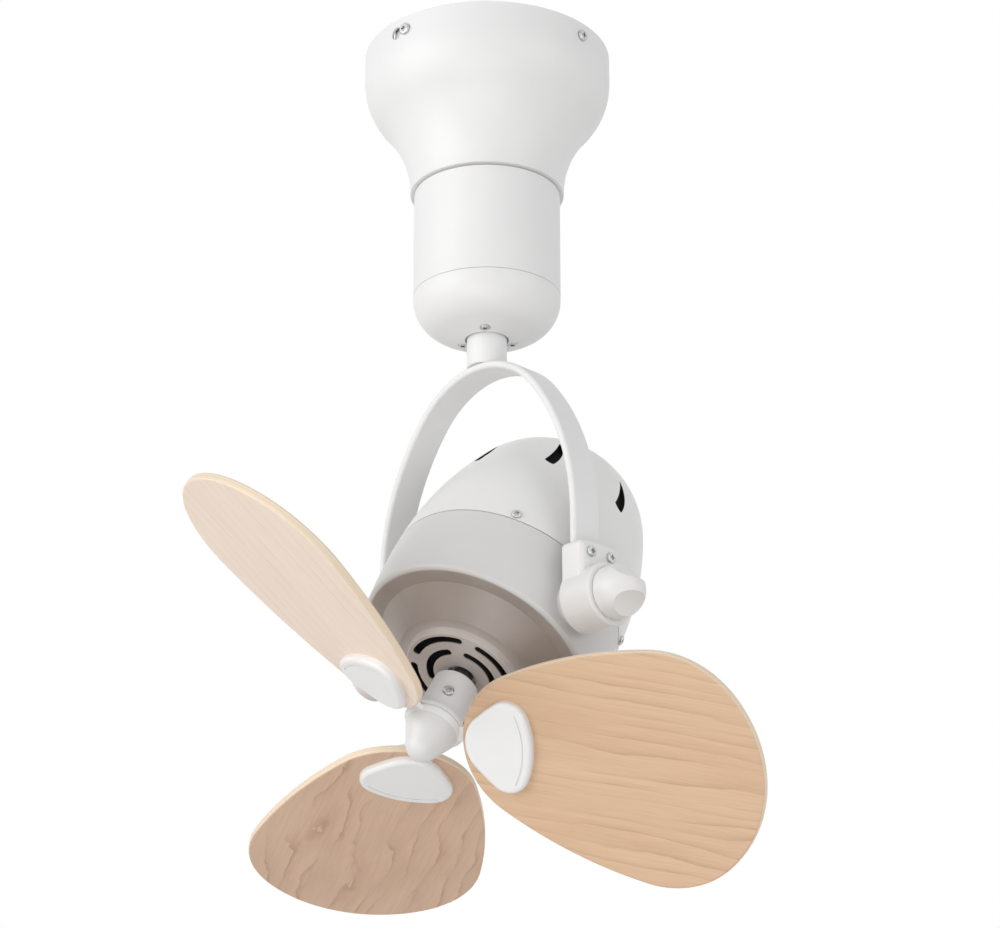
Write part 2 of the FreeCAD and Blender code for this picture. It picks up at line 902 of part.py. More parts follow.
def orbit_motor():
    body = new_body("orbit_motor")
    place(body, moved(0, d.orbit_shift, -gearbox_inside))
    shift = centre_distance - d.orbit_shift
    can = new_sketch(body, "XY_Plane")
    add_circle(can, 0, 0, d.orbit_radius)
    pad(body, can, d.orbit_height, backwards=True)
    ears = new_sketch(body, "XY_Plane")
    add_loop(ears, straight_slot(sized(0), sized(0), d.orbit_ear, d.ear_radius))
    pad(body, ears, d.ear_thick, backwards=True)
    boss = new_sketch(body, "XY_Plane")
    add_circle(boss, 0, shift, d.orbit_boss)
    pad(body, boss, d.orbit_height + d.orbit_boss_rise, backwards=True)
    places = [(side * d.orbit_ear, 0) for side in (-1, 1)]
    holes(body, "XY_Plane", places, d.mid_shank + d.hole_gap, None, d.ear_thick)
    low = -(d.orbit_height + d.orbit_boss_rise)
    bore = d.pinion_bore + d.run_gap
    holes(body, "XY_Plane", [(0, shift)], bore, low, d.pinion_engage + d.face_gap, backwards=True)


def orbit_motor_screws():
    low = -(gearbox_inside + d.ear_thick)
    places = [(point(side * d.orbit_ear, d.orbit_shift, low), DOWN) for side in (-1, 1)]
    screw_group("orbit_motor_screws", "mid", d.ear_thick + d.housing_screw_grip, places)


def bearing_plate():
    body = new_body("bearing_plate")
    edge = bore_radius - d.seat_gap
    lip = d.stem_bearing_radius - d.bearing_lip
    revolve(body, [[
        line(edge, -lug_end),
        line(stem_bearing_seat, -lug_end),
        line(stem_bearing_seat, -upper_bearing_end),
        line(lip, -upper_bearing_end),
        line(lip, -plate_boss_end),
        line(d.plate_boss, -plate_boss_end),
        line(d.plate_boss, -plate_end),
        line(edge, -plate_end),
    ]])
    places = around(d.lug_screw_circle, LUG_ANGLES)
    holes(body, "XY_Plane", places, d.mid_shank + d.hole_gap, -lug_end, d.bearing_plate)
    places = around(d.cap_screw_circle, cap_screw_angles)
    thread = d.small_shank + d.seat_gap
    holes(body, "XY_Plane", places, thread, -plate_boss_end, d.cap_screw_hold + d.face_gap, backwards=True)


def plate_screws():
    places = around(d.lug_screw_circle, LUG_ANGLES)
    grip = d.bearing_plate + d.lug_thick - d.face_gap
    screw_group("plate_screws", "mid", grip, [(point(x, y, -plate_end), DOWN) for x, y in places])


def bearing(label, bore, radius, top, width):
    """A ball bearing seen from outside: two rings with a sunk shield between them on both faces."""
    body = new_body(label)
    race = (radius - bore - d.shield_width) / 2
    inner, outer = bore + race, radius - race
    low = top - width
    revolve(body, [[
        line(bore, low), line(inner, low), line(inner, low + d.shield_depth),
        line(outer, low + d.shield_depth), line(outer, low), line(radius, low),
        line(radius, top), line(outer, top), line(outer, top - d.shield_depth),
        line(inner, top - d.shield_depth), line(inner, top), line(bore, top),
    ]])
    return body


def stem_bearings():
    bore = d.journal_radius + d.run_gap
    bearing("upper_bearing", bore, d.stem_bearing_radius, -lug_end, d.stem_bearing_width)
    bearing("lower_bearing", bore, d.stem_bearing_radius, -lower_bearing_start, d.stem_bearing_width)


# The cap's bowl: a corner arc from its band, then a shallow arc about the axis

cap_start = gearbox_end + d.seam_gap
bowl_start = cap_start + d.cap_band
bowl_x = d.gearbox_radius - d.cap_corner
bowl_rise = d.cap_rise - d.cap_corner
bowl_radius = (square(bowl_x) + square(d.cap_rise) - square(d.cap_corner)) / (2 * bowl_rise)
bowl_centre = bowl_radius - d.cap_rise - bowl_start


def bowl_level(x, offset):
    """Height of the bowl's shallow arc at a radius, moved inwards by an offset."""
    return bowl_centre - root(square(bowl_radius - offset) - square(x))


def gearbox_cap():
    body = new_body("gearbox_cap")
    spigot = bore_radius - d.seat_gap
    inside = spigot - d.spigot_wall
    corner = d.cap_corner - d.cap_wall
    reach = bowl_radius - d.cap_corner
    lean_x, lean_z = bowl_x / reach, -(bowl_centre + bowl_start) / reach
    lip = d.journal_radius + d.cap_lip_gap
    top = plate_end + d.seat_gap

    def tangent(radius):
        return bowl_x + radius * lean_x, radius * lean_z - bowl_start

    revolve(body, [[
        line(spigot, -top),
        line(inside, -top),
        line(inside, -(bowl_start + root(square(corner) - square(inside - bowl_x)))),
        right(*tangent(corner), corner),
        right(d.plate_boss, bowl_level(d.plate_boss, d.cap_wall), bowl_radius - d.cap_wall),
        line(d.plate_boss, -lower_bearing_start),
        line(stem_bearing_seat, -lower_bearing_start),
        line(stem_bearing_seat, -lower_bearing_end),
        line(lip, -lower_bearing_end),
        line(lip, -cap_lip_end),
        line(d.cap_hole, -cap_lip_end),
        line(d.cap_hole, bowl_level(d.cap_hole, 0)),
        left(*tangent(d.cap_corner), bowl_radius),
        left(d.gearbox_radius, -bowl_start, d.cap_corner),
        line(d.gearbox_radius, -cap_start),
        line(spigot, -cap_start),
    ]])
    places = around(d.cap_screw_circle, cap_screw_angles)
    deep = bowl_radius
    holes(body, "XY_Plane", places, d.small_shank + d.hole_gap, -plate_boss_end, deep)
    holes(body, "XY_Plane", places, d.small_head + d.hole_gap, cap_screw_seat, deep)


cap_screw_seat = bowl_level(d.cap_screw_circle, 0) + d.cap_screw_sink


def cap_screws():
    grip = d.cap_screw_hold - plate_boss_end - cap_screw_seat
    places = around(d.cap_screw_circle, cap_screw_angles)
    screw_group("cap_screws", "small", grip, [(point(x, y, cap_screw_seat), DOWN) for x, y in places])


# Brushes and slip ring

slip_start = plate_end + d.slip_drop
slip_middle = slip_start + d.slip_length / 2
slip_tracks = [slip_middle - d.slip_pitch, slip_middle, slip_middle + d.slip_pitch]


def brush_block():
    body = new_body("brush_block")
    block = new_sketch(body, "XY_Plane", -plate_end)
    half = d.brush_width / 2
    add_loop(block, rectangle(d.brush_offset, d.brush_offset + d.brush_depth, -half, half))
    pad(body, block, d.brush_length, backwards=True)
    fingers = new_sketch(body, "XZ_Plane")
    tip = d.slip_radius - d.slip_groove + d.face_gap
    reach = d.brush_offset + d.brush_depth / 2
    for track in slip_tracks:
        add_loop(fingers, rectangle(tip, reach, -(track + d.brush_finger / 2), d.brush_finger / 2 - track))
    pad_both_ways(body, fingers, d.slip_track)


def slip_ring():
    body = new_body("slip_ring")
    bore, outer, groove = d.journal_radius + d.seat_gap, d.slip_radius, d.slip_radius - d.slip_groove
    half = d.slip_track / 2
    corners = [line(bore, -(slip_start + d.slip_length)), line(bore, -slip_start), line(outer, -slip_start)]
    for track in slip_tracks:
        corners += [
            line(outer, half - track),
            line(groove, half - track),
            line(groove, -(track + half)),
            line(outer, -(track + half)),
        ]
    corners.append(line(outer, -(slip_start + d.slip_length)))
    revolve(body, [corners])


# Gears of the orbit drive

PRESSURE_ANGLE = 20.0
HALF_TURN = 180


def gear(teeth, width, bore):
    """A spur gear about Z, standing on its lower face."""
    builder = fcgear.FCWireBuilder()
    involute.CreateExternalGear(builder, sheet.get("tooth_module"), int(teeth.number), PRESSURE_ANGLE, True)
    outline = Part.Wire([edge.toShape() for edge in builder.wire])
    solid = Part.Face(outline).extrude(Vector(0, 0, width.number))
    return solid.cut(Part.makeCylinder(bore.number, width.number))


def drive_pinion():
    low = -(gear_end + (d.pinion_width - d.gear_width) / 2)
    feature = new_feature("drive_pinion", gear(d.pinion_teeth, d.pinion_width, d.pinion_bore + d.seat_gap))
    place(feature, moved(0, centre_distance, low, angle=HALF_TURN / d.pinion_teeth))


def pinion_shaft():
    body = new_body("pinion_shaft")
    place(body, moved(0, centre_distance, 0))
    top = d.pinion_engage - orbit_boss_end
    low = -(gear_end + d.pinion_width - d.gear_width)
    revolve(body, [[line(0, low), line(d.pinion_bore, low), line(d.pinion_bore, top), line(0, top)]])


def driven_gear():
    bore = d.journal_radius + d.seat_gap
    solid = gear(d.gear_teeth, d.gear_width, bore)
    hub = Part.makeCylinder(d.gear_hub.number, d.gear_hub_height.number)
    hub = hub.cut(Part.makeCylinder(bore.number, d.gear_hub_height.number))
    hub.translate(Vector(0, 0, -d.gear_hub_height.number))
    place(new_feature("driven_gear", solid.fuse(hub)), moved(0, 0, -gear_end))


# Stem

ring_end = gear_start
ring_start = ring_end - d.ring_thick
stem_start = ring_start - d.stem_top
journal_end = cap_lip_end + d.face_gap
crown_drop = bowl_start + d.cap_rise + d.stem_show
spring_drop = crown_drop + d.arch_rise
axis_drop = spring_drop + d.leg_length + d.leg_end
stem_end = crown_drop + d.saddle_depth
stem_floor = crown_drop - d.stem_web
crown_centre = crown_drop + d.crown_radius
stem_screw_places = [(side * d.stem_screw_circle, 0) for side in (-1, 1)]


def retaining_ring():
    body = new_body("retaining_ring")
    bore = d.journal_radius - d.ring_depth + d.seat_gap
    revolve(body, [rectangle(bore, d.ring_reach, -ring_end, -ring_start)])
    split = new_sketch(body, "XY_Plane")
    half = d.ring_split / 2
    add_loop(split, rectangle(0, d.ring_reach + d.ring_split, -half, half))
    cut_through(body, split)


def stem():
    body = new_body("stem")
    journal, neck = d.journal_radius, d.journal_radius - d.ring_depth
    revolve(body, [[
        line(0, -stem_end),
        line(d.stem_radius, -stem_end),
        line(d.stem_radius, -journal_end),
        line(journal, -journal_end),
        line(journal, -ring_end),
        line(neck, -ring_end),
        line(neck, -ring_start),
        line(journal, -ring_start),
        line(journal, -stem_start),
        line(d.stem_bore, -stem_start),
        line(d.stem_bore, -stem_floor),
        line(0, -stem_floor),
    ]])
    holes(body, "XZ_Plane", [(0, -crown_centre)], d.crown_radius + d.seat_gap)
    deep = d.stem_web + d.saddle_depth
    holes(body, "XY_Plane", stem_screw_places, d.mid_shank + d.hole_gap, -stem_floor, deep)


def stem_screws():
    """Two screws inside the stem, down through its floor into the crown of the arch."""
    places = [(point(x, y, -stem_floor), UP) for x, y in stem_screw_places]
    screw_group("stem_screws", "mid", d.stem_web + d.stem_screw_hold, places)


# Yoke: a flat strip bent to an arch, a crown arc between two longer side arcs

leg_inside = d.yoke_half_span - d.strip_thick


def yoke_arch():
    body = new_body("yoke_arch")
    span = d.yoke_half_span
    side_radius, lean_x, lean_z = oval(span, d.arch_rise, d.crown_radius)
    foot = d.leg_end - axis_drop

    def tangent(radius):
        return radius * lean_x, radius * lean_z - crown_centre

    outer, inner = d.crown_radius, d.crown_radius - d.strip_thick
    outer_x, outer_z = tangent(outer)
    inner_x, inner_z = tangent(inner)
    sketch = new_sketch(body, "XZ_Plane")
    add_loop(sketch, [
        line(span, foot),
        line(span, -spring_drop),
        left(outer_x, outer_z, side_radius),
        left(-outer_x, outer_z, outer),
        left(-span, -spring_drop, side_radius),
        line(-span, foot),
        line(-leg_inside, foot),
        line(-leg_inside, -spring_drop),
        right(-inner_x, inner_z, side_radius - d.strip_thick),
        right(inner_x, inner_z, inner),
        right(leg_inside, -spring_drop, side_radius - d.strip_thick),
        line(leg_inside, foot),
    ])
    strip = pad_both_ways(body, sketch, d.strip_width)
    half = d.strip_width.number / 2

    def outline_edge(edge):
        box = edge.BoundBox
        return near(box.YMin, box.YMax) and near(abs(box.YMin), half)

    round_edges(body, strip, d.strip_edge, outline_edge)
    deep = d.stem_screw_hold + d.face_gap
    holes(body, "XY_Plane", stem_screw_places, d.mid_shank + d.seat_gap, -crown_drop, deep)
    screw_level = d.pivot_screw_rise - axis_drop
    places = [(side * d.pivot_screw_half, screw_level) for side in (-1, 1)]
    holes(body, "YZ_Plane", places, d.mid_shank + d.seat_gap)


# Pivot housings and what sits in them, drawn for the +X side about the tilt axis

RIGHT_SIDE = moved(0, 0, -axis_drop)
LEFT_SIDE = moved(0, 0, -axis_drop, angle=HALF_TURN)


def pivot_housing(label, side):
    body = new_body(label)
    place(body, side)
    half, top, radius = d.pivot_tab_half, d.pivot_tab_top, d.pivot_radius
    crown = (square(half) + square(d.pivot_tab_crown)) / (2 * d.pivot_tab_crown)
    tab = new_sketch(body, "YZ_Plane", leg_inside)
    add_loop(tab, [
        line(half, top),
        left(-half, top, crown),
        line(-half, 0),
        line(half, 0),
    ])
    block = pad(body, tab, d.pivot_tab_reach - leg_inside)

    def outer_edge(edge):
        return near(edge.BoundBox.XMax, d.pivot_tab_reach.number) and edge.BoundBox.ZMax > TOLERANCE

    round_edges(body, block, d.pivot_tab_edge, outer_edge)
    disc = new_sketch(body, "YZ_Plane", leg_inside)
    add_circle(disc, 0, 0, radius)
    solid = pad(body, disc, d.pivot_reach - leg_inside)
    round_edges(body, solid, d.pivot_edge, lambda edge: near(edge.BoundBox.XMin, d.pivot_reach.number))
    recess = new_sketch(body, "YZ_Plane", leg_inside)
    slot_half = d.strip_width / 2 + d.seat_gap
    over = top + 2 * d.pivot_tab_crown
    add_loop(recess, rectangle(-slot_half, slot_half, d.leg_end - d.seat_gap, over))
    cut(body, recess, d.strip_thick + d.seat_gap, backwards=True)
    centre = [(0, 0)]
    depth = d.bush_reach - leg_inside
    holes(body, "YZ_Plane", centre, d.bush_radius + d.seat_gap, leg_inside, depth, backwards=True)
    holes(body, "YZ_Plane", centre, d.clamp_radius, leg_inside, d.pivot_reach - leg_inside, backwards=True)
    places = [(turn * d.pivot_screw_half, d.pivot_screw_rise) for turn in (-1, 1)]
    depth = d.pivot_tab_reach - leg_inside
    holes(body, "YZ_Plane", places, d.mid_shank + d.hole_gap, leg_inside, depth, backwards=True)


def pivot_screws():
    level = d.pivot_screw_rise - axis_drop
    places = []
    for side in (-1, 1):
        for turn in (-1, 1):
            head = point(side * d.pivot_tab_reach, turn * d.pivot_screw_half, level)
            places.append((head, Vector(side, 0, 0)))
    screw_group("pivot_screws", "mid", d.pivot_tab_reach - leg_inside, places)


def pivot_bush(label, side):
    body = new_body(label)
    place(body, side)
    bore = d.trunnion_radius + d.run_gap
    revolve(body, [rectangle(leg_inside, d.bush_reach, bore, d.bush_radius)], "H_Axis")


def left_pivot_cap():
    body = new_body("left_pivot_cap")
    place(body, LEFT_SIDE)
    stub = d.clamp_radius - d.seat_gap
    base, radius = d.pivot_reach, d.pivot_cap_radius
    rise = d.pivot_cap_rise - d.pivot_cap_side
    revolve(body, [[
        line(base - d.pivot_cap_stub, 0),
        line(base - d.pivot_cap_stub, stub),
        line(base, stub),
        line(base, radius),
        line(base + d.pivot_cap_side, radius),
        right(base + d.pivot_cap_rise, 0, (square(radius) + square(rise)) / (2 * rise)),
    ]], "H_Axis")


# Tilt knob: a short drum with a domed end, scooped above and below to leave a finger bar

knob_base = d.pivot_reach + d.face_gap
knob_screw_radius = d.clamp_radius - d.run_gap


def tilt_knob():
    body = new_body("tilt_knob")
    place(body, RIGHT_SIDE)
    radius, crown = d.knob_radius, d.knob_crown
    start = knob_base + d.knob_side
    apex = knob_base + d.knob_rise
    side, lean_r, lean_x = oval(radius, apex - start, crown)
    bore = knob_screw_radius + d.seat_gap
    bottom = knob_base + d.knob_bore_depth
    revolve(body, [[
        line(knob_base, bore),
        line(knob_base, radius),
        line(start, radius),
        right(apex - crown + crown * lean_x, crown * lean_r, side),
        right(apex, 0, crown),
        line(bottom, 0),
        line(bottom, bore),
    ]], "H_Axis")
    scoops = new_sketch(body, "XZ_Plane")
    beyond, edge = apex + d.knob_bar, radius + d.knob_bar
    low = knob_base + d.knob_scoop_base
    add_loop(scoops, [line(beyond, edge), line(beyond, d.knob_bar), right(low, edge, d.knob_scoop)])
    add_loop(scoops, [line(beyond, -edge), line(beyond, -d.knob_bar), left(low, -edge, d.knob_scoop)])
    cut_through(body, scoops)


def knob_screw():
    body = new_body("knob_screw")
    place(body, RIGHT_SIDE)
    tip = d.bush_reach + d.face_gap
    end = knob_base + d.knob_bore_depth - d.seat_gap
    radius = knob_screw_radius
    revolve(body, [[line(tip, 0), line(end, 0), line(end, radius), line(tip, radius)]], "H_Axis")


# Motor pod, drawn upright about the tilt axis: its face looks down, its dome is on top

HEAD = moved(0, 0, -axis_drop, (1, 0, 0), -d.rest_tilt)
QUARTERS = (45, 135, 225, 315)
FIRST_QUARTER = QUARTERS[0]
pod_base = d.pod_seam + d.seam_groove
lip_outside = d.pod_radius - d.pod_wall - d.seat_gap
pod_inside = lip_outside - d.lip_wall
pod_screw_level = d.pod_seam + d.pod_screw_rise
motor_bearing_seat = d.motor_bearing_radius + d.seat_gap
front_bearing_low = d.face_wall - d.face_drop
rear_bearing_top = d.stator_high + d.bracket_height
bolt_places = around(d.bolt_circle, QUARTERS)
dome_side, dome_lean_x, dome_lean_z = oval(d.pod_radius, d.dome_top - pod_base, d.dome_crown)


def dome_tangent(offset):
    """Where the dome's side arc meets its crown arc, moved inwards by an offset."""
    radius = d.dome_crown - offset
    return radius * dome_lean_x, d.dome_top - d.dome_crown + radius * dome_lean_z


def dome_side_x(level, offset):
    """Radius of the dome's side arc at a level, moved inwards by an offset."""
    return d.pod_radius - dome_side + root(square(dome_side - offset) - square(level - pod_base))


def dome_crown_x(level, offset):
    """Radius of the dome's crown arc at a level, moved inwards by an offset."""
    height = level - d.dome_top + d.dome_crown
    return root(square(d.dome_crown - offset) - square(height))


def turned_sketch(body, angle):
    """A sketch in the XZ plane turned about Z."""
    sketch = new_sketch(body, "XZ_Plane")
    sketch.setExpression("AttachmentOffset", moved(0, 0, 0, (0, 1, 0), angle))
    return sketch


def radial_holes(body, level, radius, reach):
    """Four holes through the wall, at the quarters between the tilt axis and its normal."""
    sketch = turned_sketch(body, FIRST_QUARTER)
    add_circle(sketch, 0, level, radius)
    repeat_around(body, cut(body, sketch, reach), sized(len(QUARTERS)))


def upper_housing():
    body = new_body("upper_housing")
    place(body, HEAD)
    span, wall, crown = d.pod_radius, d.pod_wall, d.dome_crown
    revolve(body, [[
        line(span, pod_base),
        left(*dome_tangent(0), dome_side),
        left(0, d.dome_top, crown),
        line(0, d.dome_top - wall),
        right(*dome_tangent(wall), crown - wall),
        right(span - wall, pod_base, dome_side - wall),
    ]])
    leaf = turned_sketch(body, d.vent_turn)
    add_loop(leaf, [
        left(d.vent_half, d.vent_low + d.vent_lean, d.vent_base_bend),
        right(d.vent_tip_shift, d.vent_high, d.vent_back_bend),
        left(-d.vent_half, d.vent_low, d.vent_flank_bend),
    ])
    repeat_around(body, cut(body, leaf, span), d.vent_count)
    radial_holes(body, pod_screw_level, d.small_shank + d.hole_gap, span)


def vent_filter():
    """A thin liner inside the dome, behind its vents."""
    body = new_body("vent_filter")
    place(body, HEAD)
    near_wall = d.pod_wall + d.face_gap
    inside = near_wall + d.filter_thick
    low, high = d.filter_low, d.filter_high
    revolve(body, [[
        line(dome_side_x(low, near_wall), low),
        left(*dome_tangent(near_wall), dome_side - near_wall),
        left(dome_crown_x(high, near_wall), high, d.dome_crown - near_wall),
        line(dome_crown_x(high, inside), high),
        right(*dome_tangent(inside), d.dome_crown - inside),
        right(dome_side_x(low, inside), low, dome_side - inside),
    ]])


def slotted_ring(sketch, ring, turn, sweep, count):
    for number in range(count):
        middle = turn + number * FULL_TURN / count
        add_loop(sketch, curved_slot(ring, d.face_slot_width / 2, middle, sweep))


OUTER_SLOTS = 4
INNER_SLOTS = 3


def lower_housing():
    body = new_body("lower_housing")
    place(body, HEAD)
    wall = d.face_wall
    lip_top = d.pod_seam + d.lip_height
    lip_gap = d.pod_wall + d.seat_gap
    cone = (d.step_drop - d.band_drop) / (d.band_radius - d.step_radius)
    ledge_low = wall - d.step_drop + cone * (d.ledge_bore - d.step_radius)
    inside_ring = d.ring_radius - d.ring_inset
    inside_face = d.face_radius - d.ring_inset
    shell = revolve(body, [[
        line(d.pod_radius, d.pod_seam),
        right(d.rim_radius, -d.rim_drop, d.skirt_radius),
        line(d.band_radius, -d.band_drop),
        line(d.step_radius, -d.step_drop),
        line(d.ring_radius, -d.ring_drop),
        line(d.face_radius, -d.face_drop),
        line(d.shaft_hole, -d.face_drop),
        line(d.shaft_hole, front_bearing_low),
        line(motor_bearing_seat, front_bearing_low),
        line(motor_bearing_seat, front_bearing_low + d.motor_bearing_width),
        line(d.bearing_boss, front_bearing_low + d.motor_bearing_width),
        line(d.bearing_boss, front_bearing_low),
        line(inside_face, front_bearing_low),
        line(inside_ring, wall - d.ring_drop),
        line(d.step_radius, wall - d.step_drop),
        line(d.ledge_bore, ledge_low),
        line(d.ledge_bore, -d.stator_low),
        line(d.stator_radius, -d.stator_low),
        line(d.stator_radius, wall - d.band_drop),
        line(pod_inside, wall - d.rim_drop),
        line(pod_inside, lip_top),
        line(dome_side_x(lip_top, lip_gap), lip_top),
        right(lip_outside, pod_base, dome_side - lip_gap),
        line(lip_outside, d.pod_seam),
    ]])

    def rim(edge):
        return near(edge.BoundBox.ZMin, -d.rim_drop.number) and near(edge.BoundBox.ZMax, -d.rim_drop.number)

    round_edges(body, shell, d.rim_edge, rim)
    for start in (d.trunnion_start, -d.trunnion_boss_reach):
        boss = new_sketch(body, "YZ_Plane", start)
        add_circle(boss, 0, 0, d.trunnion_boss)
        pad(body, boss, d.trunnion_boss_reach - d.trunnion_start)
    holes(body, "YZ_Plane", [(0, 0)], d.trunnion_radius + d.seat_gap)
    thread = d.big_shank + d.seat_gap
    holes(body, "XY_Plane", bolt_places, thread, -d.stator_low, d.bolt_grip + d.face_gap)
    slots = new_sketch(body, "XY_Plane", 2 * wall - d.face_drop)
    slotted_ring(slots, d.outer_slot_ring, d.outer_slot_turn, d.outer_slot_sweep, OUTER_SLOTS)
    slotted_ring(slots, d.inner_slot_ring, d.inner_slot_turn, d.inner_slot_sweep, INNER_SLOTS)
    cut(body, slots, 3 * wall)
    radial_holes(body, pod_screw_level, d.small_shank + d.seat_gap, lip_outside + d.pod_wall)


def dust_shield():
    """A thin ring over the inside of the slotted face, round the bearing boss."""
    body = new_body("dust_shield")
    place(body, HEAD)
    low = front_bearing_low + d.seat_gap
    bore = d.bearing_boss + d.face_gap
    revolve(body, [rectangle(bore, d.shield_edge, low, low + d.shield_thick)])


def pod_screws():
    reach = d.pod_radius + d.seat_gap
    places = []
    for x, y in around(reach, QUARTERS):
        head = point(x, y, pod_screw_level)
        places.append((head, Vector(head.x, head.y, 0)))
    place(screw_group("pod_screws", "small", d.pod_screw_grip, places), HEAD)


def trunnion_pin(label, turn):
    body = new_body(label)
    place(body, HEAD, moved(0, 0, 0, angle=turn))
    start, end, radius = d.trunnion_start, d.trunnion_end, d.trunnion_radius
    revolve(body, [[line(start, 0), line(end, 0), line(end, radius), line(start, radius)]], "H_Axis")


# Motor inside the pod


def stator_core():
    body = new_body("stator_core")
    place(body, HEAD)
    height = d.stator_low + d.stator_high
    sketch = new_sketch(body, "XY_Plane", -d.stator_low)
    add_circle(sketch, 0, 0, d.stator_radius)
    add_circle(sketch, 0, 0, d.stator_bore)
    for x, y in bolt_places:
        add_circle(sketch, x, y, d.big_shank + d.hole_gap)
    pad(body, sketch, height)
    slot = new_sketch(body, "XY_Plane", d.stator_high)
    half = d.tooth_gap / 2
    add_loop(slot, rectangle(d.stator_bore - d.tooth_gap, d.tooth_root, -half, half))
    repeat_around(body, cut(body, slot, height), d.tooth_count)


def stator_windings():
    """The bundles of wire that stand out of the core at both ends."""
    body = new_body("stator_windings")
    place(body, HEAD)
    bore, radius, edge = d.coil_bore, d.coil_radius, d.coil_edge
    loops = []
    for way, base, corner in ((1, d.stator_high, left), (-1, -d.stator_low, right)):
        end = base + way * d.coil_height
        turn = end - way * edge
        loops.append([
            line(bore, base),
            line(radius, base),
            line(radius, turn),
            corner(radius - edge, end, edge),
            line(bore + edge, end),
            corner(bore, turn, edge),
        ])
    revolve(body, loops)


def rear_bracket():
    body = new_body("rear_bracket")
    place(body, HEAD)
    top = rear_bearing_top + d.bracket_disc
    low = rear_bearing_top - d.motor_bearing_width
    foot = d.stator_radius - d.bracket_foot
    revolve(body, [[
        line(0, top),
        line(0, rear_bearing_top),
        line(motor_bearing_seat, rear_bearing_top),
        line(motor_bearing_seat, low),
        line(d.bearing_boss, low),
        line(d.bearing_boss, rear_bearing_top),
        line(foot, rear_bearing_top),
        line(foot, d.stator_high),
        line(d.stator_radius, d.stator_high),
        line(d.stator_radius, top),
    ]])
    holes(body, "XY_Plane", bolt_places, d.big_shank + d.hole_gap)


def motor_bearings():
    bore, radius, width = d.shaft_radius + d.run_gap, d.motor_bearing_radius, d.motor_bearing_width
    for label, top in (("rear_bearing", rear_bearing_top), ("front_bearing", front_bearing_low + width)):
        place(bearing(label, bore, radius, top, width), HEAD)


def stator_bolts():
    top = rear_bearing_top + d.bracket_disc
    grip = top + d.stator_low + d.bolt_grip
    places = [(point(x, y, top), UP) for x, y in bolt_places]
    place(screw_group("stator_bolts", "big", grip, places), HEAD)


def driver_board():
    body = new_body("driver_board")
    place(body, HEAD)
    sketch = new_sketch(body, "XY_Plane", rear_bearing_top + d.bracket_disc)
    add_circle(sketch, 0, 0, d.board_radius)
    add_circle(sketch, 0, 0, d.board_bore)
    pad(body, sketch, d.board_thick)


# Rotor: shaft, collar, hub and nose


def motor_shaft():
    body = new_body("motor_shaft")
    place(body, HEAD)
    top, radius = rear_bearing_top - d.face_gap, d.shaft_radius
    revolve(body, [[line(0, -d.shaft_end), line(radius, -d.shaft_end), line(radius, top), line(0, top)]])


def rotor_core():
    body = new_body("rotor_core")
    place(body, HEAD)
    bore = d.shaft_radius + d.seat_gap
    revolve(body, [rectangle(bore, d.stator_bore - d.air_gap, -d.rotor_low, d.rotor_high)])


def shaft_collar():
    body = new_body("shaft_collar")
    place(body, HEAD)
    bore, radius, edge = d.shaft_radius + d.seat_gap, d.collar_radius, d.collar_edge
    revolve(body, [[
        line(bore, -d.hub_start),
        line(radius, -d.hub_start),
        line(radius, -(d.collar_start + edge)),
        left(radius - edge, -d.collar_start, edge),
        line(bore, -d.collar_start),
    ]])
    sketch = turned_sketch(body, d.collar_screw_turn - FULL_TURN / 4)
    add_circle(sketch, 0, -d.collar_screw_drop, d.mid_shank + d.seat_gap)
    cut(body, sketch, 2 * radius)


def collar_screw():
    reach = d.collar_radius + d.seat_gap
    x, y = around(reach, [d.collar_screw_turn])[0]
    head = point(x, y, -d.collar_screw_drop)
    grip = d.collar_radius - d.shaft_radius - d.seat_gap
    place(screw_group("collar_screw", "mid", grip, [(head, Vector(head.x, head.y, 0))]), HEAD)


def blade_turn(number):
    return d.blade_turn + THIRDS[number]


def blade_steps(number):
    """The placement formulas from the pod's frame to a blade's own: u along +X, its back along +Z."""
    pitched = moved(0, 0, -d.blade_plane, (1, 0, 0), -d.blade_pitch)
    return moved(0, 0, 0, angle=blade_turn(number)), pitched


def blade_frame(number):
    spin = Placement(Vector(0, 0, 0), Rotation(Vector(0, 0, 1), blade_turn(number).number))
    tilt = Rotation(Vector(1, 0, 0), -d.blade_pitch.number)
    return spin * Placement(Vector(0, 0, -d.blade_plane.number), tilt)


blade_back = d.blade_thick / 2
blade_screw_places = [
    (d.blade_screw_near, sized(0)),
    (d.arm_reach - d.arm_margin, d.blade_screw_half),
    (d.arm_reach - d.arm_margin, -d.blade_screw_half),
]


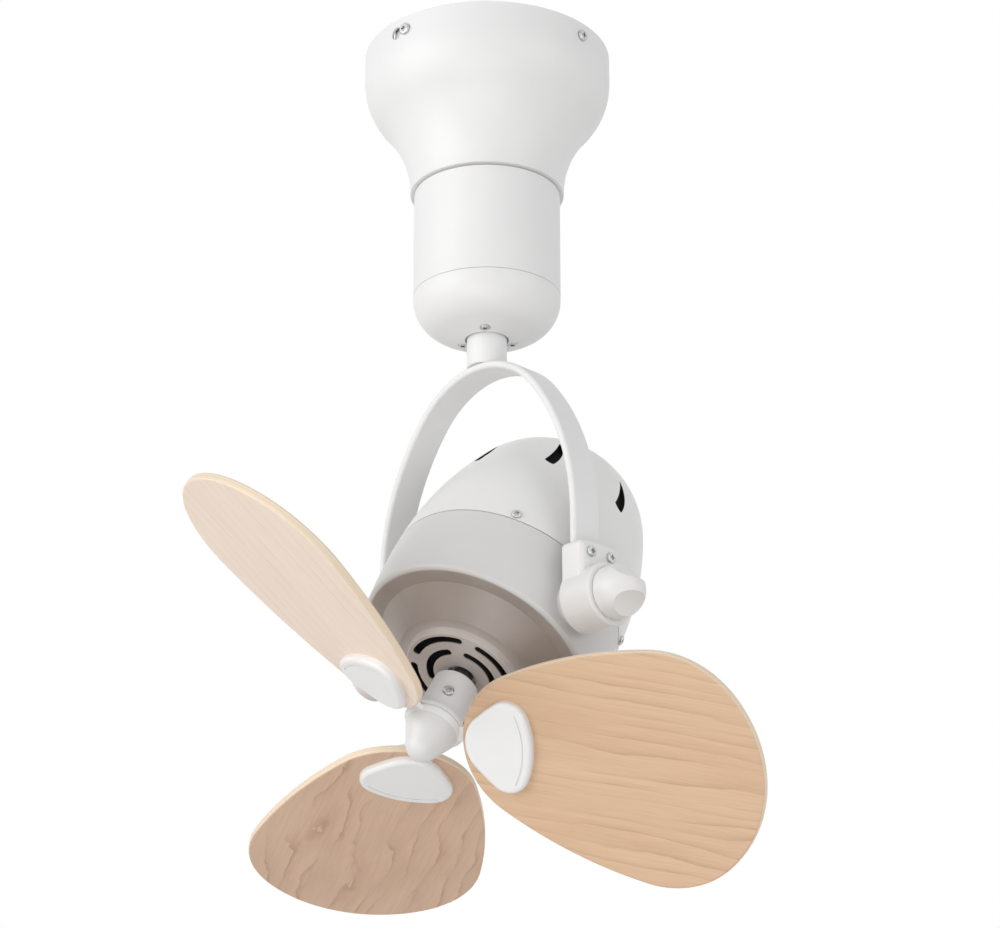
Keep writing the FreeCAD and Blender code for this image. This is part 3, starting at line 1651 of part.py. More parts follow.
def hub():
    body = new_body("hub")
    place(body, HEAD)
    bore = d.shaft_radius + d.seat_gap
    rim_end = d.hub_start + d.hub_rim
    groove_end, groove = rim_end + d.hub_groove, d.hub_radius - d.hub_groove_depth
    revolve(body, [[
        line(bore, -d.hub_core_end),
        line(d.hub_core, -d.hub_core_end),
        line(d.hub_core, -d.hub_end),
        line(d.nose_radius, -d.hub_end),
        line(d.hub_waist, -groove_end),
        line(groove, -groove_end),
        line(groove, -rim_end),
        line(d.hub_radius, -rim_end),
        line(d.hub_radius, -d.hub_start),
        line(bore, -d.hub_start),
    ]])
    rise = d.arm_reach - d.arm_round
    tip = d.arm_round
    curve = (square(d.arm_tip_half) + square(tip)) / (2 * tip)
    for number in range(len(THIRDS)):
        on_back = moved(0, 0, blade_back)
        arm = new_sketch(body, "XY_Plane")
        arm.setExpression("AttachmentOffset", " * ".join((*blade_steps(number), on_back)))
        add_loop(arm, [
            line(d.hub_core, -d.arm_root_half),
            line(d.arm_neck, -d.arm_root_half),
            line(d.arm_flare, -d.arm_tip_half),
            line(rise, -d.arm_tip_half),
            left(d.arm_reach, 0, curve),
            left(rise, d.arm_tip_half, curve),
            line(d.arm_flare, d.arm_tip_half),
            line(d.arm_neck, d.arm_root_half),
            line(d.hub_core, d.arm_root_half),
        ])
        for x, y in blade_screw_places:
            add_circle(arm, x, y, d.mid_shank + d.hole_gap)
        pad(body, arm, d.arm_thick)


def nose_cap():
    """A cone that carries on the hub's taper to a round tip, bored for the hub's core."""
    body = new_body("nose_cap")
    place(body, HEAD)
    base, radius, tip = -(d.hub_end + d.seat_gap), d.nose_radius, d.nose_tip
    drop, bore = d.nose_tip_drop, d.hub_core + d.seat_gap
    slant = square(radius) + square(drop)
    reach = root(slant - square(tip))
    tangent_x = tip * (tip * radius + reach * drop) / slant
    tangent_z = base - drop - tip * (reach * radius - tip * drop) / slant
    floor = base - d.nose_bore_depth
    revolve(body, [[
        line(radius, base),
        line(tangent_x, tangent_z),
        right(0, base - drop - tip, tip),
        line(0, floor),
        line(bore, floor),
        line(bore, base),
    ]])


# Blades: a round root, bowed flanks, round corners and a shallow tip arc, alike on both sides


def tip_arc_centre(corner, corner_half, corner_radius, tip):
    """Where the tip arc of a paddle is centred on its axis."""
    reach = tip - corner_radius
    return (square(reach) - square(corner) - square(corner_half)) / (2 * (reach - corner))


def paddle(centre, radius, corner, corner_half, corner_radius, tip, flank):
    """Outline along +X: a root circle on the axis, two corner circles, and wider arcs that touch them."""
    across = corner - centre
    length = root(square(across) + square(corner_half))
    root_gap, corner_gap = flank - radius, flank - corner_radius
    along = (square(root_gap) - square(corner_gap) + square(length)) / (2 * length)
    aside = root(square(root_gap) - square(along))
    flank_x = centre + (along * across + aside * corner_half) / length
    flank_y = (along * corner_half - aside * across) / length
    tip_centre = tip_arc_centre(corner, corner_half, corner_radius, tip)
    tip_radius = tip - tip_centre
    spread = tip_radius - corner_radius
    tip_x = corner + corner_radius * (corner - tip_centre) / spread
    tip_y = corner_half + corner_radius * corner_half / spread
    corner_x = corner + corner_radius * (corner - flank_x) / corner_gap
    corner_y = corner_half + corner_radius * (corner_half - flank_y) / corner_gap
    root_x = centre + radius * (centre - flank_x) / root_gap
    root_y = -radius * flank_y / root_gap
    return [
        left(tip_x, tip_y, tip_radius),
        left(corner_x, corner_y, corner_radius),
        left(root_x, root_y, flank),
        left(centre - radius, 0, radius),
        left(root_x, -root_y, radius),
        left(corner_x, -corner_y, flank),
        left(tip_x, -tip_y, corner_radius),
        left(tip, 0, tip_radius),
    ]


def blade(number):
    body = new_body(f"blade_{number + 1}")
    place(body, HEAD, *blade_steps(number))
    sketch = new_sketch(body, "XY_Plane", -blade_back)
    centre, radius = d.blade_root, d.blade_root_radius
    corner, half, bend = d.blade_corner, d.blade_corner_half, d.blade_corner_radius
    add_loop(sketch, paddle(centre, radius, corner, half, bend, d.blade_tip, d.blade_flank_radius))
    solid = pad(body, sketch, d.blade_thick)
    round_edges(body, solid, d.blade_edge, lambda edge: near(edge.BoundBox.ZMin, edge.BoundBox.ZMax))
    holes(body, "XY_Plane", blade_screw_places, d.mid_shank + d.seat_gap)


def cover_outline(inset):
    bend = d.cover_corner_radius - inset
    radius = d.cover_root_radius - inset
    flank = d.cover_flank_radius - inset
    tip = d.cover_tip - inset
    return paddle(d.cover_root, radius, d.cover_corner, d.cover_corner_half, bend, tip, flank)


def blade_cover(number):
    """A plate with a round edge over the blade's root, with a fine groove along its tip arc."""
    body = new_body(f"blade_cover_{number + 1}")
    place(body, HEAD, *blade_steps(number))
    base = -blade_back
    face = base - d.cover_rise
    foot = new_sketch(body, "XY_Plane", base)
    add_loop(foot, cover_outline(sized(0)))
    plate = pad(body, foot, d.cover_rise, backwards=True)
    round_edges(body, plate, d.cover_edge, lambda edge: near(edge.BoundBox.ZMax, face.number))
    hollow = new_sketch(body, "XY_Plane", base)
    add_loop(hollow, cover_outline(d.cover_wall))
    cut(body, hollow, d.cover_pocket)
    centre = tip_arc_centre(d.cover_corner, d.cover_corner_half, d.cover_corner_radius, d.cover_tip)
    ring = d.cover_tip - centre - d.cover_groove_inset
    groove = new_sketch(body, "XY_Plane", face)
    add_loop(groove, curved_slot(ring, d.cover_groove_half, sized(0), d.cover_groove_sweep, centre))
    cut(body, groove, d.cover_groove_depth, backwards=True)


def blade_screws():
    places = []
    for number in range(len(THIRDS)):
        frame = blade_frame(number)
        way = frame.Rotation.multVec(UP)
        for x, y in blade_screw_places:
            places.append((frame.multVec(point(x, y, blade_back + d.arm_thick)), way))
    place(screw_group("blade_screws", "mid", d.blade_screw_grip, places), HEAD)


# The whole fan, from the ceiling down

mounting_bracket()
terminal_block()
canopy()
canopy_screws()
neck_gasket()
gearbox_housing()
housing_screws()
orbit_motor()
orbit_motor_screws()
bearing_plate()
plate_screws()
stem_bearings()
gearbox_cap()
cap_screws()
brush_block()
pinion_shaft()
drive_pinion()
stem()
driven_gear()
retaining_ring()
slip_ring()
yoke_arch()
stem_screws()
pivot_housing("pivot_housing_right", RIGHT_SIDE)
pivot_housing("pivot_housing_left", LEFT_SIDE)
pivot_screws()
pivot_bush("pivot_bush_right", RIGHT_SIDE)
pivot_bush("pivot_bush_left", LEFT_SIDE)
left_pivot_cap()
tilt_knob()
knob_screw()
upper_housing()
vent_filter()
lower_housing()
dust_shield()
pod_screws()
trunnion_pin("trunnion_pin_right", 0)
trunnion_pin("trunnion_pin_left", HALF_TURN)
stator_core()
stator_windings()
rear_bracket()
motor_bearings()
stator_bolts()
driver_board()
motor_shaft()
rotor_core()
shaft_collar()
collar_screw()
hub()
nose_cap()
for blade_number in range(len(THIRDS)):
    blade(blade_number)
    blade_cover(blade_number)
blade_screws()

doc.recompute()
failed = [part.Label for part in doc.Objects if "Invalid" in part.State or "Error" in part.State]
failed += [node.Label for node in nodes if node.Shape.isNull() or not node.Shape.isValid()]
if failed:
    raise RuntimeError(f"Parts that failed: {failed}")

os.makedirs("parts", exist_ok=True)
for node in nodes:
    node.Shape.exportStep(f"parts/{node.Label}.step")
print(f"{len(nodes)} parts written")
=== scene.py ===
import json
import math

import bpy
from mathutils import Matrix, Vector

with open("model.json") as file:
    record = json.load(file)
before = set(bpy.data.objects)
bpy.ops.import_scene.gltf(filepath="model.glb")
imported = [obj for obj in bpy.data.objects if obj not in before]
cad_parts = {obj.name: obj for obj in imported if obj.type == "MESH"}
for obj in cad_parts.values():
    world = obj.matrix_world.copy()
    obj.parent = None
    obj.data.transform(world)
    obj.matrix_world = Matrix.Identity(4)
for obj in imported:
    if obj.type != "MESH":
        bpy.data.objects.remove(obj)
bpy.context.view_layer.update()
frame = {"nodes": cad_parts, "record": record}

MILLIMETRE = 0.001
UP = Vector((0, 0, 1))
WHITE = (1.0, 1.0, 1.0)

# The pod's place, in metres and degrees. Its own frame is upright, from the tilt axis.
TILT_AXIS = Vector((0, 0, -0.37484))
REST_TILT = 32.8
HEAD_TURN = Matrix.Rotation(math.radians(-REST_TILT), 3, "X")

# Places in the pod's frame, in metres
RIM_RADIUS = 0.0672
FACE_RADIUS = 0.0335
FACE_DEPTH = 0.0369
SEAM_LEVEL = 0.0263
DOME_CENTRE = 0.075
VENT_LEVEL = 0.08

# The blades in the pod's frame, in metres and degrees
BLADE_DEPTH = 0.0807
BLADE_PITCH = 22.2
BLADE_THICKNESS = 0.005
BLADE_PLIES = 3
BLADE_TURNS = {"blade_1": 28.8, "blade_2": 148.8, "blade_3": 268.8}

# The camera, as fitted to the photograph
CAMERA_PLACE = Vector((1.2477, -1.2321, -0.9687))
CAMERA_PITCH = 21.751
CAMERA_YAW = 0.257
LENS_MM = 115.2
SENSOR_MM = 36

# The studio: where the lamps aim, the strength of the world's light on the fan, and the floor.
# The floor's glow is what it shows beyond the light that falls on it.
LIT_POINT = Vector((0, 0, -0.3))
AMBIENT = 0.53
FLOOR_LEVEL = -1.6
FLOOR_RADIUS = 9.0
FLOOR_SIDES = 96
FLOOR_GLOW = 0.35

# The range that holds most of a noise texture's values
NOISE_LOW = 0.3
NOISE_HIGH = 0.7

# Sizes of the blotches in coated skins, how far their gloss wanders, and their orange peel
TONE_SIZE = 60 * MILLIMETRE
SMEAR_SIZE = 14 * MILLIMETRE
GLOSS_CHANGE = 0.05
PEEL_STRENGTH = 0.12
PEEL_DEPTH = 0.05 * MILLIMETRE

# The white moulded plastic
PLASTIC_WHITE = (0.80, 0.798, 0.795)
PLASTIC_SHADE = (0.777, 0.775, 0.772)
PLASTIC_PEEL = 0.5 * MILLIMETRE
PLASTIC_ROUGHNESS = 0.36

# Cosines between a surface and its piece's outer face: at the first the surface counts as that
# face, at the second as a wall or an edge
DOME_COSINES = (0.75, 0.55)
BLADE_COSINES = (0.80, 0.55)

# Widths over which the painted shade on the motor's face changes
RIM_BLEND = 1.5 * MILLIMETRE
SHAFT_BLEND = 8 * MILLIMETRE
SLOT_START = 0.3 * MILLIMETRE
SEAM_BLEND = 0.2 * MILLIMETRE

# The veneer: sizes of its noise across the grain, the range over which the figure comes and goes,
# the fibres' stretch along the grain, their share in the colour and their relief
SWAY_SIZE = 38 * MILLIMETRE
KINK_SIZE = 11 * MILLIMETRE
PATCH_SIZE = 17 * MILLIMETRE
PATCH_RANGE = (0.38, 0.60)
FAINTEST_LINE = 0.05
FIBRE_SIZE = 0.9 * MILLIMETRE
FIBRE_STRETCH = (0.035, 1.0, 1.0)
FIBRE_SHARE = 0.75
FIBRE_STRENGTH = 0.25
FIBRE_DEPTH = 0.06 * MILLIMETRE
VARNISH_ROUGHNESS = (0.52, 0.40)

# Sizes of blotches and scratches on metals, and how far their gloss wanders down and up
METAL_TONE_SIZE = 5 * MILLIMETRE
SCRATCH_SIZE = 0.5 * MILLIMETRE
SCRATCH_DEPTH = 0.03 * MILLIMETRE
METAL_GLOSS_CHANGE = (0.08, 0.10)

# Sockets of a Mix node that mixes colours
MIX_FACTOR, MIX_ONE, MIX_TWO, MIX_RESULT = 0, 6, 7, 2


class Nodes:
    """A node tree that is built with one call for each node."""

    def __init__(self, tree):
        self.tree = tree

    def add(self, kind, inputs, **settings):
        """A new node with these settings. Each input takes a value, or another node's output."""
        node = self.tree.nodes.new("ShaderNode" + kind)
        for name, value in settings.items():
            setattr(node, name, value)
        for socket, value in inputs.items():
            self.feed(node.inputs[socket], value)
        return node

    def feed(self, socket, value):
        if isinstance(value, bpy.types.NodeSocket):
            self.tree.links.new(value, socket)
        else:
            socket.default_value = value

    def maths(self, operation, *values):
        node = self.add("Math", dict(enumerate(values)), operation=operation)
        return node.outputs["Value"]

    def vector(self, operation, *values):
        """A vector that comes from other vectors."""
        node = self.add("VectorMath", dict(enumerate(values)), operation=operation)
        return node.outputs["Vector"]

    def measure(self, operation, *values):
        """A number that comes from vectors."""
        node = self.add("VectorMath", dict(enumerate(values)), operation=operation)
        return node.outputs["Value"]

    def coordinate(self, vector, axis):
        return self.add("SeparateXYZ", {"Vector": vector}).outputs[axis]

    def spread(self, value, low, high, new_low=0.0, new_high=1.0):
        """The value's range from low to high, as the range from new_low to new_high."""
        old = {"From Min": low, "From Max": high}
        new = {"To Min": new_low, "To Max": new_high}
        return self.add("MapRange", {"Value": value, **old, **new}).outputs["Result"]

    def colours(self, value, stops):
        """Colours that run through these stops, each a place from 0 to 1 and a colour."""
        node = self.add("ValToRGB", {"Fac": value})
        ramp = node.color_ramp
        while len(ramp.elements) < len(stops):
            ramp.elements.new(1.0)
        for element, (place, colour) in zip(ramp.elements, stops):
            element.position = place
            element.color = rgba(colour)
        return node.outputs["Color"]

    def mixed(self, factor, one, two, blend="MIX"):
        inputs = {MIX_FACTOR: factor, MIX_ONE: one, MIX_TWO: two}
        node = self.add("Mix", inputs, data_type="RGBA", blend_type=blend)
        return node.outputs[MIX_RESULT]

    def seen(self):
        """1 for rays from the camera, from reflections and through glass, and 0 for others."""
        rays = self.add("LightPath", {}).outputs
        seen = self.maths("MAXIMUM", rays["Is Camera Ray"], rays["Is Glossy Ray"])
        return self.maths("MAXIMUM", seen, rays["Is Transmission Ray"])


class Finish(Nodes):
    """A material and the nodes behind its surface."""

    def __init__(self, name):
        self.material = bpy.data.materials.new(name)
        self.material.use_nodes = True
        super().__init__(self.material.node_tree)
        self.surface = self.tree.nodes["Principled BSDF"]

    def set(self, **values):
        """Values for the surface's own sockets, named with _ for a space."""
        for name, value in values.items():
            self.feed(self.surface.inputs[name.replace("_", " ")], value)

    def base_colour(self):
        """The colour that the surface has so far."""
        return self.surface.inputs["Base Color"].links[0].from_socket

    def places(self):
        """Points of the object in the row frame, as they are at rest."""
        return self.add("TexCoord", {}).outputs["Object"]

    def normals(self):
        """The way the surface faces in the row frame, as it is at rest."""
        return self.add("TexCoord", {}).outputs["Normal"]

    def in_frame(self, points, origin, turn):
        """The same points in a frame with this origin and turn."""
        inputs = {"Vector": points, "Location": origin, "Rotation": turn.to_euler()}
        return self.add("Mapping", inputs, vector_type="TEXTURE").outputs["Vector"]

    def stretched(self, points, scale):
        return self.add("Mapping", {"Vector": points, "Scale": scale}).outputs["Vector"]

    def noise(self, points, size, detail=3.0, roughness=0.5):
        """Noise from 0 to 1 whose blotches are about this many metres across."""
        inputs = {"Vector": points, "Scale": 1 / size, "Detail": detail, "Roughness": roughness}
        return self.add("TexNoise", inputs).outputs["Fac"]

    def blotched(self, noise, shade, colour):
        """Colours from the shade to the colour, over the range that holds most noise."""
        return self.colours(noise, [(NOISE_LOW, shade), (NOISE_HIGH, colour)])

    def varied(self, noise, low, high):
        """Values from low to high, over the range that holds most noise."""
        return self.spread(noise, NOISE_LOW, NOISE_HIGH, low, high)

    def rough_with(self, height, strength, depth):
        """A bumped normal from a height of 0 to 1."""
        inputs = {"Height": height, "Strength": strength, "Distance": depth}
        return self.add("Bump", inputs).outputs["Normal"]


def rgba(colour):
    return (*colour, 1.0)


def coated(name, colour, shade, peel, roughness):
    """A sprayed or moulded skin: slow tone changes, a fine orange peel and an uneven gloss."""
    finish = Finish(name)
    points = finish.places()
    tone = finish.noise(points, TONE_SIZE)
    finish.set(Base_Color=finish.blotched(tone, shade, colour))
    smear = finish.noise(points, SMEAR_SIZE, detail=5.0)
    gloss = finish.varied(smear, roughness - GLOSS_CHANGE, roughness + GLOSS_CHANGE)
    finish.set(Roughness=gloss)
    skin = finish.noise(points, peel, detail=2.0)
    finish.set(Normal=finish.rough_with(skin, PEEL_STRENGTH, PEEL_DEPTH))
    return finish


def moulded(name, colour=PLASTIC_WHITE, shade=PLASTIC_SHADE):
    """Satin moulded plastic, white unless another colour is given."""
    return coated(name, colour, shade, PLASTIC_PEEL, PLASTIC_ROUGHNESS)


def white_paint():
    """Satin powder coat."""
    return coated("white_paint", colour=(0.80, 0.80, 0.80), shade=(0.775, 0.775, 0.777),
                  peel=0.9 * MILLIMETRE, roughness=0.42)


def white_plastic():
    """Satin moulded plastic."""
    return moulded("white_plastic")


def painted_shade_white():
    """The same moulded plastic in a slightly greyer white, as painted shade."""
    return moulded("painted_shade_white", colour=(0.70, 0.695, 0.688), shade=(0.678, 0.672, 0.665))


def dome_white():
    """The pod's upper shell: moulded plastic, with painted shade on the walls of the vents."""
    finish = moulded("dome_white")
    points = finish.places()
    centre = TILT_AXIS + HEAD_TURN @ Vector((0, 0, DOME_CENTRE))
    outward = finish.vector("NORMALIZE", finish.vector("SUBTRACT", points, centre))
    skin = finish.measure("DOT_PRODUCT", finish.normals(), outward)
    wall = finish.spread(skin, *DOME_COSINES)
    level = finish.coordinate(finish.in_frame(points, TILT_AXIS, HEAD_TURN), "Z")
    high = finish.spread(level, VENT_LEVEL - MILLIMETRE, VENT_LEVEL)
    # Painted shade: near black on the walls of the vents, above the vents' level
    blotch = finish.noise(points, 4 * MILLIMETRE)
    painted_vent_shade = finish.blotched(blotch, shade=(0.014, 0.014, 0.014), colour=(0.03, 0.03, 0.03))
    vent_wall = finish.maths("MULTIPLY", wall, high)
    finish.set(Base_Color=finish.mixed(vent_wall, finish.base_colour(), painted_vent_shade))
    return finish


def motor_face():
    """The pod's lower shell: off-white, with painted shade inside the rim: warm grey, paler round
    the shaft. Painted shade also makes the slots and the seam dark."""
    finish = moulded("motor_face", colour=(0.665, 0.660, 0.655), shade=(0.640, 0.635, 0.630))
    points = finish.places()
    local = finish.in_frame(points, TILT_AXIS, HEAD_TURN)
    radius = finish.measure("LENGTH", finish.vector("MULTIPLY", local, (1.0, 1.0, 0.0)))
    level = finish.coordinate(local, "Z")
    blotch = finish.noise(points, 25 * MILLIMETRE, detail=4.0)

    # Off-white outside, then painted shade: warm grey inside the rim, paler towards the shaft
    painted_underside_shade = finish.blotched(blotch, shade=(0.345, 0.300, 0.272), colour=(0.385, 0.340, 0.312))
    # pale is the lighter painted shade towards the shaft
    pale = finish.blotched(blotch, shade=(0.545, 0.500, 0.470), colour=(0.590, 0.548, 0.518))
    to_axis = finish.spread(radius, FACE_RADIUS + SHAFT_BLEND, FACE_RADIUS - MILLIMETRE)
    inside = finish.spread(radius, RIM_RADIUS, RIM_RADIUS - RIM_BLEND)
    below = finish.maths("MULTIPLY", inside, finish.spread(level, 0.0, -MILLIMETRE))
    skin = finish.mixed(below, finish.base_colour(), finish.mixed(to_axis, painted_underside_shade, pale))

    # Painted shade: dark behind the slotted face and in the seam
    near_axis = finish.spread(radius, FACE_RADIUS, FACE_RADIUS - MILLIMETRE)
    behind = finish.spread(level, SLOT_START - FACE_DEPTH, MILLIMETRE - FACE_DEPTH)
    groove = finish.spread(level, SEAM_LEVEL, SEAM_LEVEL + SEAM_BLEND)
    shaded = finish.maths("MAXIMUM", finish.maths("MULTIPLY", near_axis, behind), groove)
    # dark is the near-black painted shade in the slots and the seam
    dark = finish.blotched(blotch, shade=(0.020, 0.019, 0.018), colour=(0.034, 0.032, 0.030))
    finish.set(Base_Color=finish.mixed(shaded, skin, dark))
    return finish


def wood(name, colours, ring, sway, jag, along, line):
    """Sliced veneer on plywood. The grain runs along the blade, and the edges show the plies.

    The growth rings are ring metres apart. Noise moves them by up to sway and jag rings, along is
    the noise's scale along the blade, and line is how strongly the figure shows at most."""
    pale, middle, dark = colours
    finish = Finish("wood_" + name)
    spin = Matrix.Rotation(math.radians(BLADE_TURNS[name]), 3, "Z")
    pitch = Matrix.Rotation(math.radians(-BLADE_PITCH), 3, "X")
    turn = HEAD_TURN @ spin @ pitch
    centre = TILT_AXIS + HEAD_TURN @ Vector((0, 0, -BLADE_DEPTH))
    local = finish.in_frame(finish.places(), centre, turn)

    # Growth rings: saw teeth across the blade, swayed by slow noise and kinked by finer noise
    grain = finish.stretched(local, (along, 1.0, 1.0))
    slow = finish.noise(grain, SWAY_SIZE, detail=1.5)
    kink = finish.noise(grain, KINK_SIZE)
    rings = finish.maths("MULTIPLY", finish.coordinate(local, "Y"), 1 / ring)
    rings = finish.maths("MULTIPLY_ADD", slow, sway, rings)
    rings = finish.maths("MULTIPLY_ADD", kink, jag, rings)
    tooth = finish.maths("FRACT", rings)
    tooth_stops = [(0.0, pale), (0.30, pale), (0.78, middle), (0.96, dark), (1.0, pale)]
    figure = finish.colours(tooth, tooth_stops)

    # The figure comes and goes, over an even tone with fine fibres
    patch = finish.noise(grain, PATCH_SIZE, detail=2.0)
    presence = finish.spread(patch, *PATCH_RANGE, new_low=FAINTEST_LINE, new_high=line)
    plain = finish.colours(slow, [(0.35, pale), (0.65, middle)])
    colour = finish.mixed(presence, plain, figure)
    fibre_places = finish.stretched(local, FIBRE_STRETCH)
    fibres = finish.noise(fibre_places, FIBRE_SIZE, detail=4.0, roughness=0.65)
    streaks = finish.colours(fibres, [(0.3, (0.90, 0.88, 0.86)), (0.6, WHITE)])
    colour = finish.mixed(FIBRE_SHARE, colour, streaks, "MULTIPLY")

    # Plies on the edge: bands through the thickness, where the surface turns away from the face
    inward = finish.measure("DOT_PRODUCT", finish.normals(), turn @ UP)
    edge = finish.spread(finish.maths("ABSOLUTE", inward), *BLADE_COSINES)
    through = finish.coordinate(local, "Z")
    ply = finish.maths("FRACT", finish.maths("MULTIPLY", through, BLADE_PLIES / BLADE_THICKNESS))
    ply_stops = [(0.0, (0.60, 0.44, 0.29)), (0.12, (0.82, 0.70, 0.55)), (0.9, (0.78, 0.64, 0.48))]
    plies = finish.colours(ply, ply_stops)
    finish.set(Base_Color=finish.mixed(edge, colour, plies))

    finish.set(Roughness=finish.varied(fibres, *VARNISH_ROUGHNESS))
    finish.set(Normal=finish.rough_with(fibres, FIBRE_STRENGTH, FIBRE_DEPTH))
    return finish


def metal(name, colour, shade, roughness, grain, bump):
    """Bare or plated metal with machining grain and an uneven gloss."""
    finish = Finish(name)
    points = finish.places()
    tone = finish.noise(points, METAL_TONE_SIZE, detail=5.0)
    finish.set(Base_Color=finish.blotched(tone, shade, colour), Metallic=1.0)
    scratches = finish.noise(finish.stretched(points, grain), SCRATCH_SIZE)
    down, up = METAL_GLOSS_CHANGE
    finish.set(Roughness=finish.varied(scratches, roughness - down, roughness + up))
    finish.set(Normal=finish.rough_with(scratches, bump, SCRATCH_DEPTH))
    return finish


def screw_steel():
    """Zinc plate."""
    return metal("screw_steel", colour=(0.60, 0.60, 0.61), shade=(0.45, 0.45, 0.46),
                 roughness=0.30, grain=(1.0, 1.0, 1.0), bump=0.15)


def plain_steel():
    """Ground and pressed steel."""
    return metal("plain_steel", colour=(0.56, 0.56, 0.57), shade=(0.46, 0.46, 0.47),
                 roughness=0.36, grain=(1.0, 1.0, 0.06), bump=0.20)


def core_steel():
    """Stacked sheets, seen as fine level lines."""
    return metal("core_steel", colour=(0.32, 0.33, 0.35), shade=(0.22, 0.22, 0.24),
                 roughness=0.48, grain=(0.15, 0.15, 2.0), bump=0.45)


def cast_metal():
    """Bare die casting."""
    return metal("cast_metal", colour=(0.64, 0.65, 0.66), shade=(0.52, 0.53, 0.54),
                 roughness=0.50, grain=(0.6, 0.6, 0.6), bump=0.35)


def copper():
    """Enamelled wire and bare rings."""
    return metal("copper", colour=(0.72, 0.36, 0.19), shade=(0.58, 0.26, 0.12),
                 roughness=0.32, grain=(0.3, 0.3, 2.5), bump=0.40)


def bush_bronze():
    """Sintered bronze, with pores that hold oil."""
    return metal("bush_bronze", colour=(0.60, 0.43, 0.21), shade=(0.42, 0.29, 0.13),
                 roughness=0.46, grain=(0.8, 0.8, 0.8), bump=0.40)


def gear_plastic():
    """Natural acetal."""
    return coated("gear_plastic", colour=(0.76, 0.74, 0.67), shade=(0.72, 0.70, 0.63),
                  peel=0.6 * MILLIMETRE, roughness=0.44)


def dark_plastic():
    """Black moulding with a spark-eroded grain."""
    return coated("dark_plastic", colour=(0.030, 0.030, 0.033), shade=(0.020, 0.020, 0.022),
                  peel=0.4 * MILLIMETRE, roughness=0.52)


def painted_shade_black():
    """Near black for the parts behind the vents and slots, as painted shade for the pod's dark
    inside.
    """
    finish = coated("painted_shade_black", colour=(0.010, 0.010, 0.011), shade=(0.005, 0.005, 0.006),
                    peel=1.2 * MILLIMETRE, roughness=0.85)
    finish.set(Specular_IOR_Level=0.1)
    return finish


def gasket_rubber():
    """Pale grey rubber with a dusty bloom."""
    return coated("gasket_rubber", colour=(0.52, 0.52, 0.515), shade=(0.46, 0.46, 0.455),
                  peel=0.3 * MILLIMETRE, roughness=0.72)


def board_green():
    """Circuit board lacquer over a woven glass sheet."""
    return coated("board_green", colour=(0.020, 0.16, 0.065), shade=(0.012, 0.11, 0.045),
                  peel=0.7 * MILLIMETRE, roughness=0.34)


def blade_wood():
    """One veneer for each blade: a tan one with long lines, a browner one with a bold figure and
    a pale quiet one. Their colours go from pale to dark. Beside real veneer, the pale one's
    lighter tint is painted light and the browner one's darker tint painted shade."""
    tan = (0.685, 0.475, 0.315), (0.60, 0.40, 0.25), (0.49, 0.305, 0.18)
    # brown is darker and cream lighter than tan, partly as painted shade and painted light
    brown = (0.665, 0.455, 0.325), (0.59, 0.39, 0.27), (0.45, 0.275, 0.185)
    cream = (0.87, 0.73, 0.61), (0.84, 0.69, 0.57), (0.74, 0.57, 0.45)
    return {
        "blade_1": wood("blade_1", tan, ring=8 * MILLIMETRE, sway=4.6, jag=1.0,
                        along=0.16, line=0.68),
        "blade_2": wood("blade_2", brown, ring=15 * MILLIMETRE, sway=3.4, jag=1.2,
                        along=0.36, line=0.82),
        "blade_3": wood("blade_3", cream, ring=11 * MILLIMETRE, sway=2.0, jag=0.7,
                        along=0.20, line=0.45),
    }


def dress():
    """Gives each CAD node the finish of its material slot, or its own where it has one."""
    makers = (white_paint, white_plastic, screw_steel, plain_steel, core_steel, cast_metal, copper,
              bush_bronze, gear_plastic, dark_plastic, gasket_rubber)
    by_slot = {maker.__name__: maker() for maker in makers}
    vent_part_shade = painted_shade_black()
    by_node = {
        "upper_housing": dome_white(),
        "lower_housing": motor_face(),
        # The parts behind the vents and slots take the near-black painted shade
        "vent_filter": vent_part_shade,
        "dust_shield": vent_part_shade,
        # The nose cap's greyer white is painted shade
        "nose_cap": painted_shade_white(),
        "driver_board": board_green(),
        "orbit_motor": by_slot["plain_steel"],
        **blade_wood(),
    }
    for subpart in frame["record"]["subparts"]:
        node = subpart["node"]
        finish = by_node.get(node) or by_slot[subpart["material_slot"]]
        mesh = frame["nodes"][node].data
        mesh.materials.clear()
        mesh.materials.append(finish.material)


def camera_level():
    """The level direction in which the camera looks."""
    to_axis = Vector((-CAMERA_PLACE.x, -CAMERA_PLACE.y, 0)).normalized()
    return Matrix.Rotation(math.radians(-CAMERA_YAW), 3, "Z") @ to_axis


def aim(thing, place, direction):
    """Puts a camera or lamp into the scene, and turns it in this direction."""
    thing.location = place
    thing.rotation_euler = direction.to_track_quat("-Z", "Y").to_euler()
    bpy.context.scene.collection.objects.link(thing)


def set_camera():
    data = bpy.data.cameras.new("camera")
    data.lens = LENS_MM
    data.sensor_width = SENSOR_MM
    camera = bpy.data.objects.new("camera", data)
    pitch = math.radians(CAMERA_PITCH)
    aim(camera, CAMERA_PLACE, camera_level() * math.cos(pitch) + UP * math.sin(pitch))
    bpy.context.scene.camera = camera


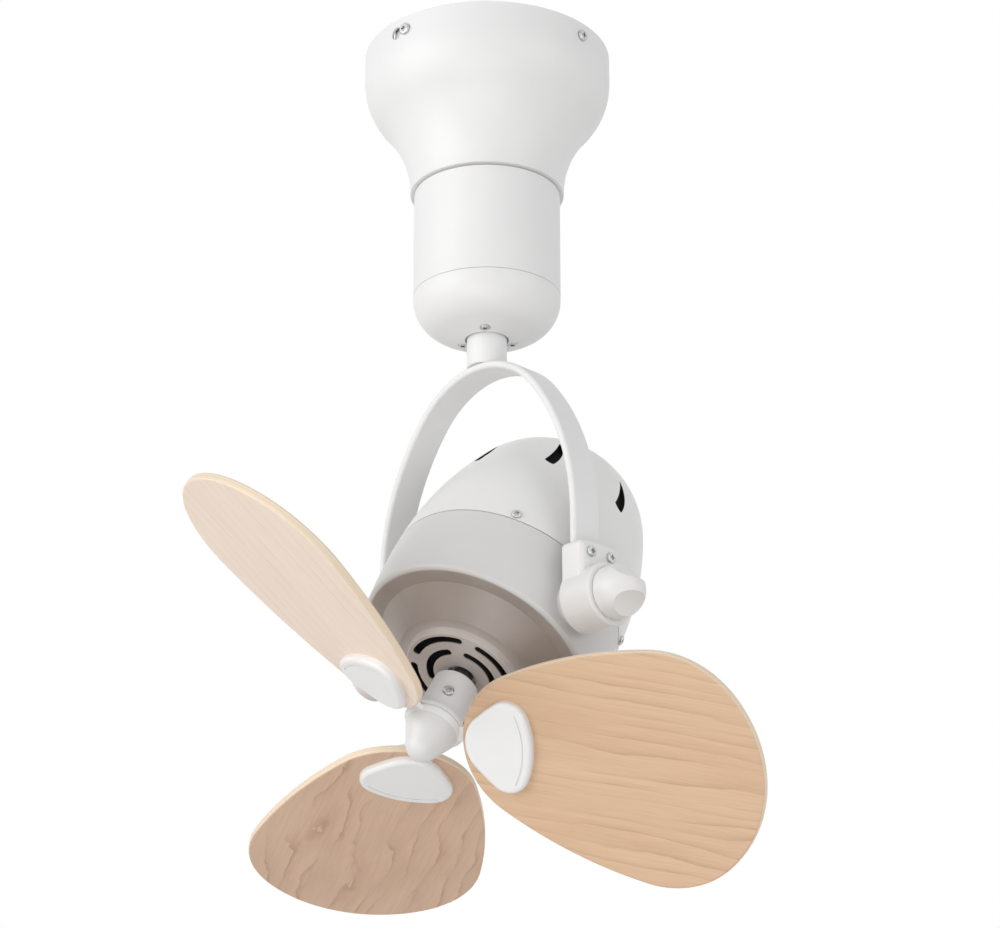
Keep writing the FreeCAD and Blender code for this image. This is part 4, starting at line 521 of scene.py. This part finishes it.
def lamp(name, right, nearer, higher, size, power, colour=WHITE):
    """A square lamp that faces the fan. Its place is in metres from the lit point, as the camera
    sees it."""
    data = bpy.data.lights.new(name, "AREA")
    data.size = size
    data.energy = power
    data.color = colour
    level = camera_level()
    offset = right * level.cross(UP) - nearer * level + higher * UP
    aim(bpy.data.objects.new(name, data), LIT_POINT + offset, -offset)


def set_lights():
    """A large soft key from the left, a weaker fill from the right and one lamp from below."""
    lamp("key", right=-1.9, nearer=1.1, higher=0.3, size=1.8, power=27)
    lamp("fill", right=2.0, nearer=1.6, higher=0.2, size=2.0, power=12)
    lamp("low", right=-0.1, nearer=1.4, higher=-1.4, size=1.8, power=22, colour=(1.0, 0.985, 0.97))


def set_world():
    """An even pale light, which the camera, reflections and glass see as white."""
    world = bpy.data.worlds.new("studio")
    world.use_nodes = True
    bpy.context.scene.world = world
    nodes = Nodes(world.node_tree)
    background = world.node_tree.nodes["Background"].inputs
    nodes.feed(background["Color"], rgba(WHITE))
    nodes.feed(background["Strength"], nodes.spread(nodes.seen(), 0.0, 1.0, new_low=AMBIENT))


def set_floor():
    """A wide round floor below the fan and the camera."""
    turns = [math.tau * number / FLOOR_SIDES for number in range(FLOOR_SIDES)]
    round_rim = [(FLOOR_RADIUS * math.cos(turn), FLOOR_RADIUS * math.sin(turn)) for turn in turns]
    mesh = bpy.data.meshes.new("floor")
    mesh.from_pydata([(x, y, FLOOR_LEVEL) for x, y in round_rim], [], [range(FLOOR_SIDES)])
    finish = coated("floor", colour=(0.86, 0.86, 0.855), shade=(0.83, 0.83, 0.825),
                    peel=6 * MILLIMETRE, roughness=0.7)
    glow = finish.maths("MULTIPLY", finish.seen(), FLOOR_GLOW)
    finish.set(Emission_Color=rgba(WHITE), Emission_Strength=glow)
    mesh.materials.append(finish.material)
    floor = bpy.data.objects.new("floor", mesh)
    bpy.context.scene.collection.objects.link(floor)


dress()
set_camera()
set_lights()
set_world()
set_floor()
bpy.context.scene.view_settings.view_transform = "Standard"
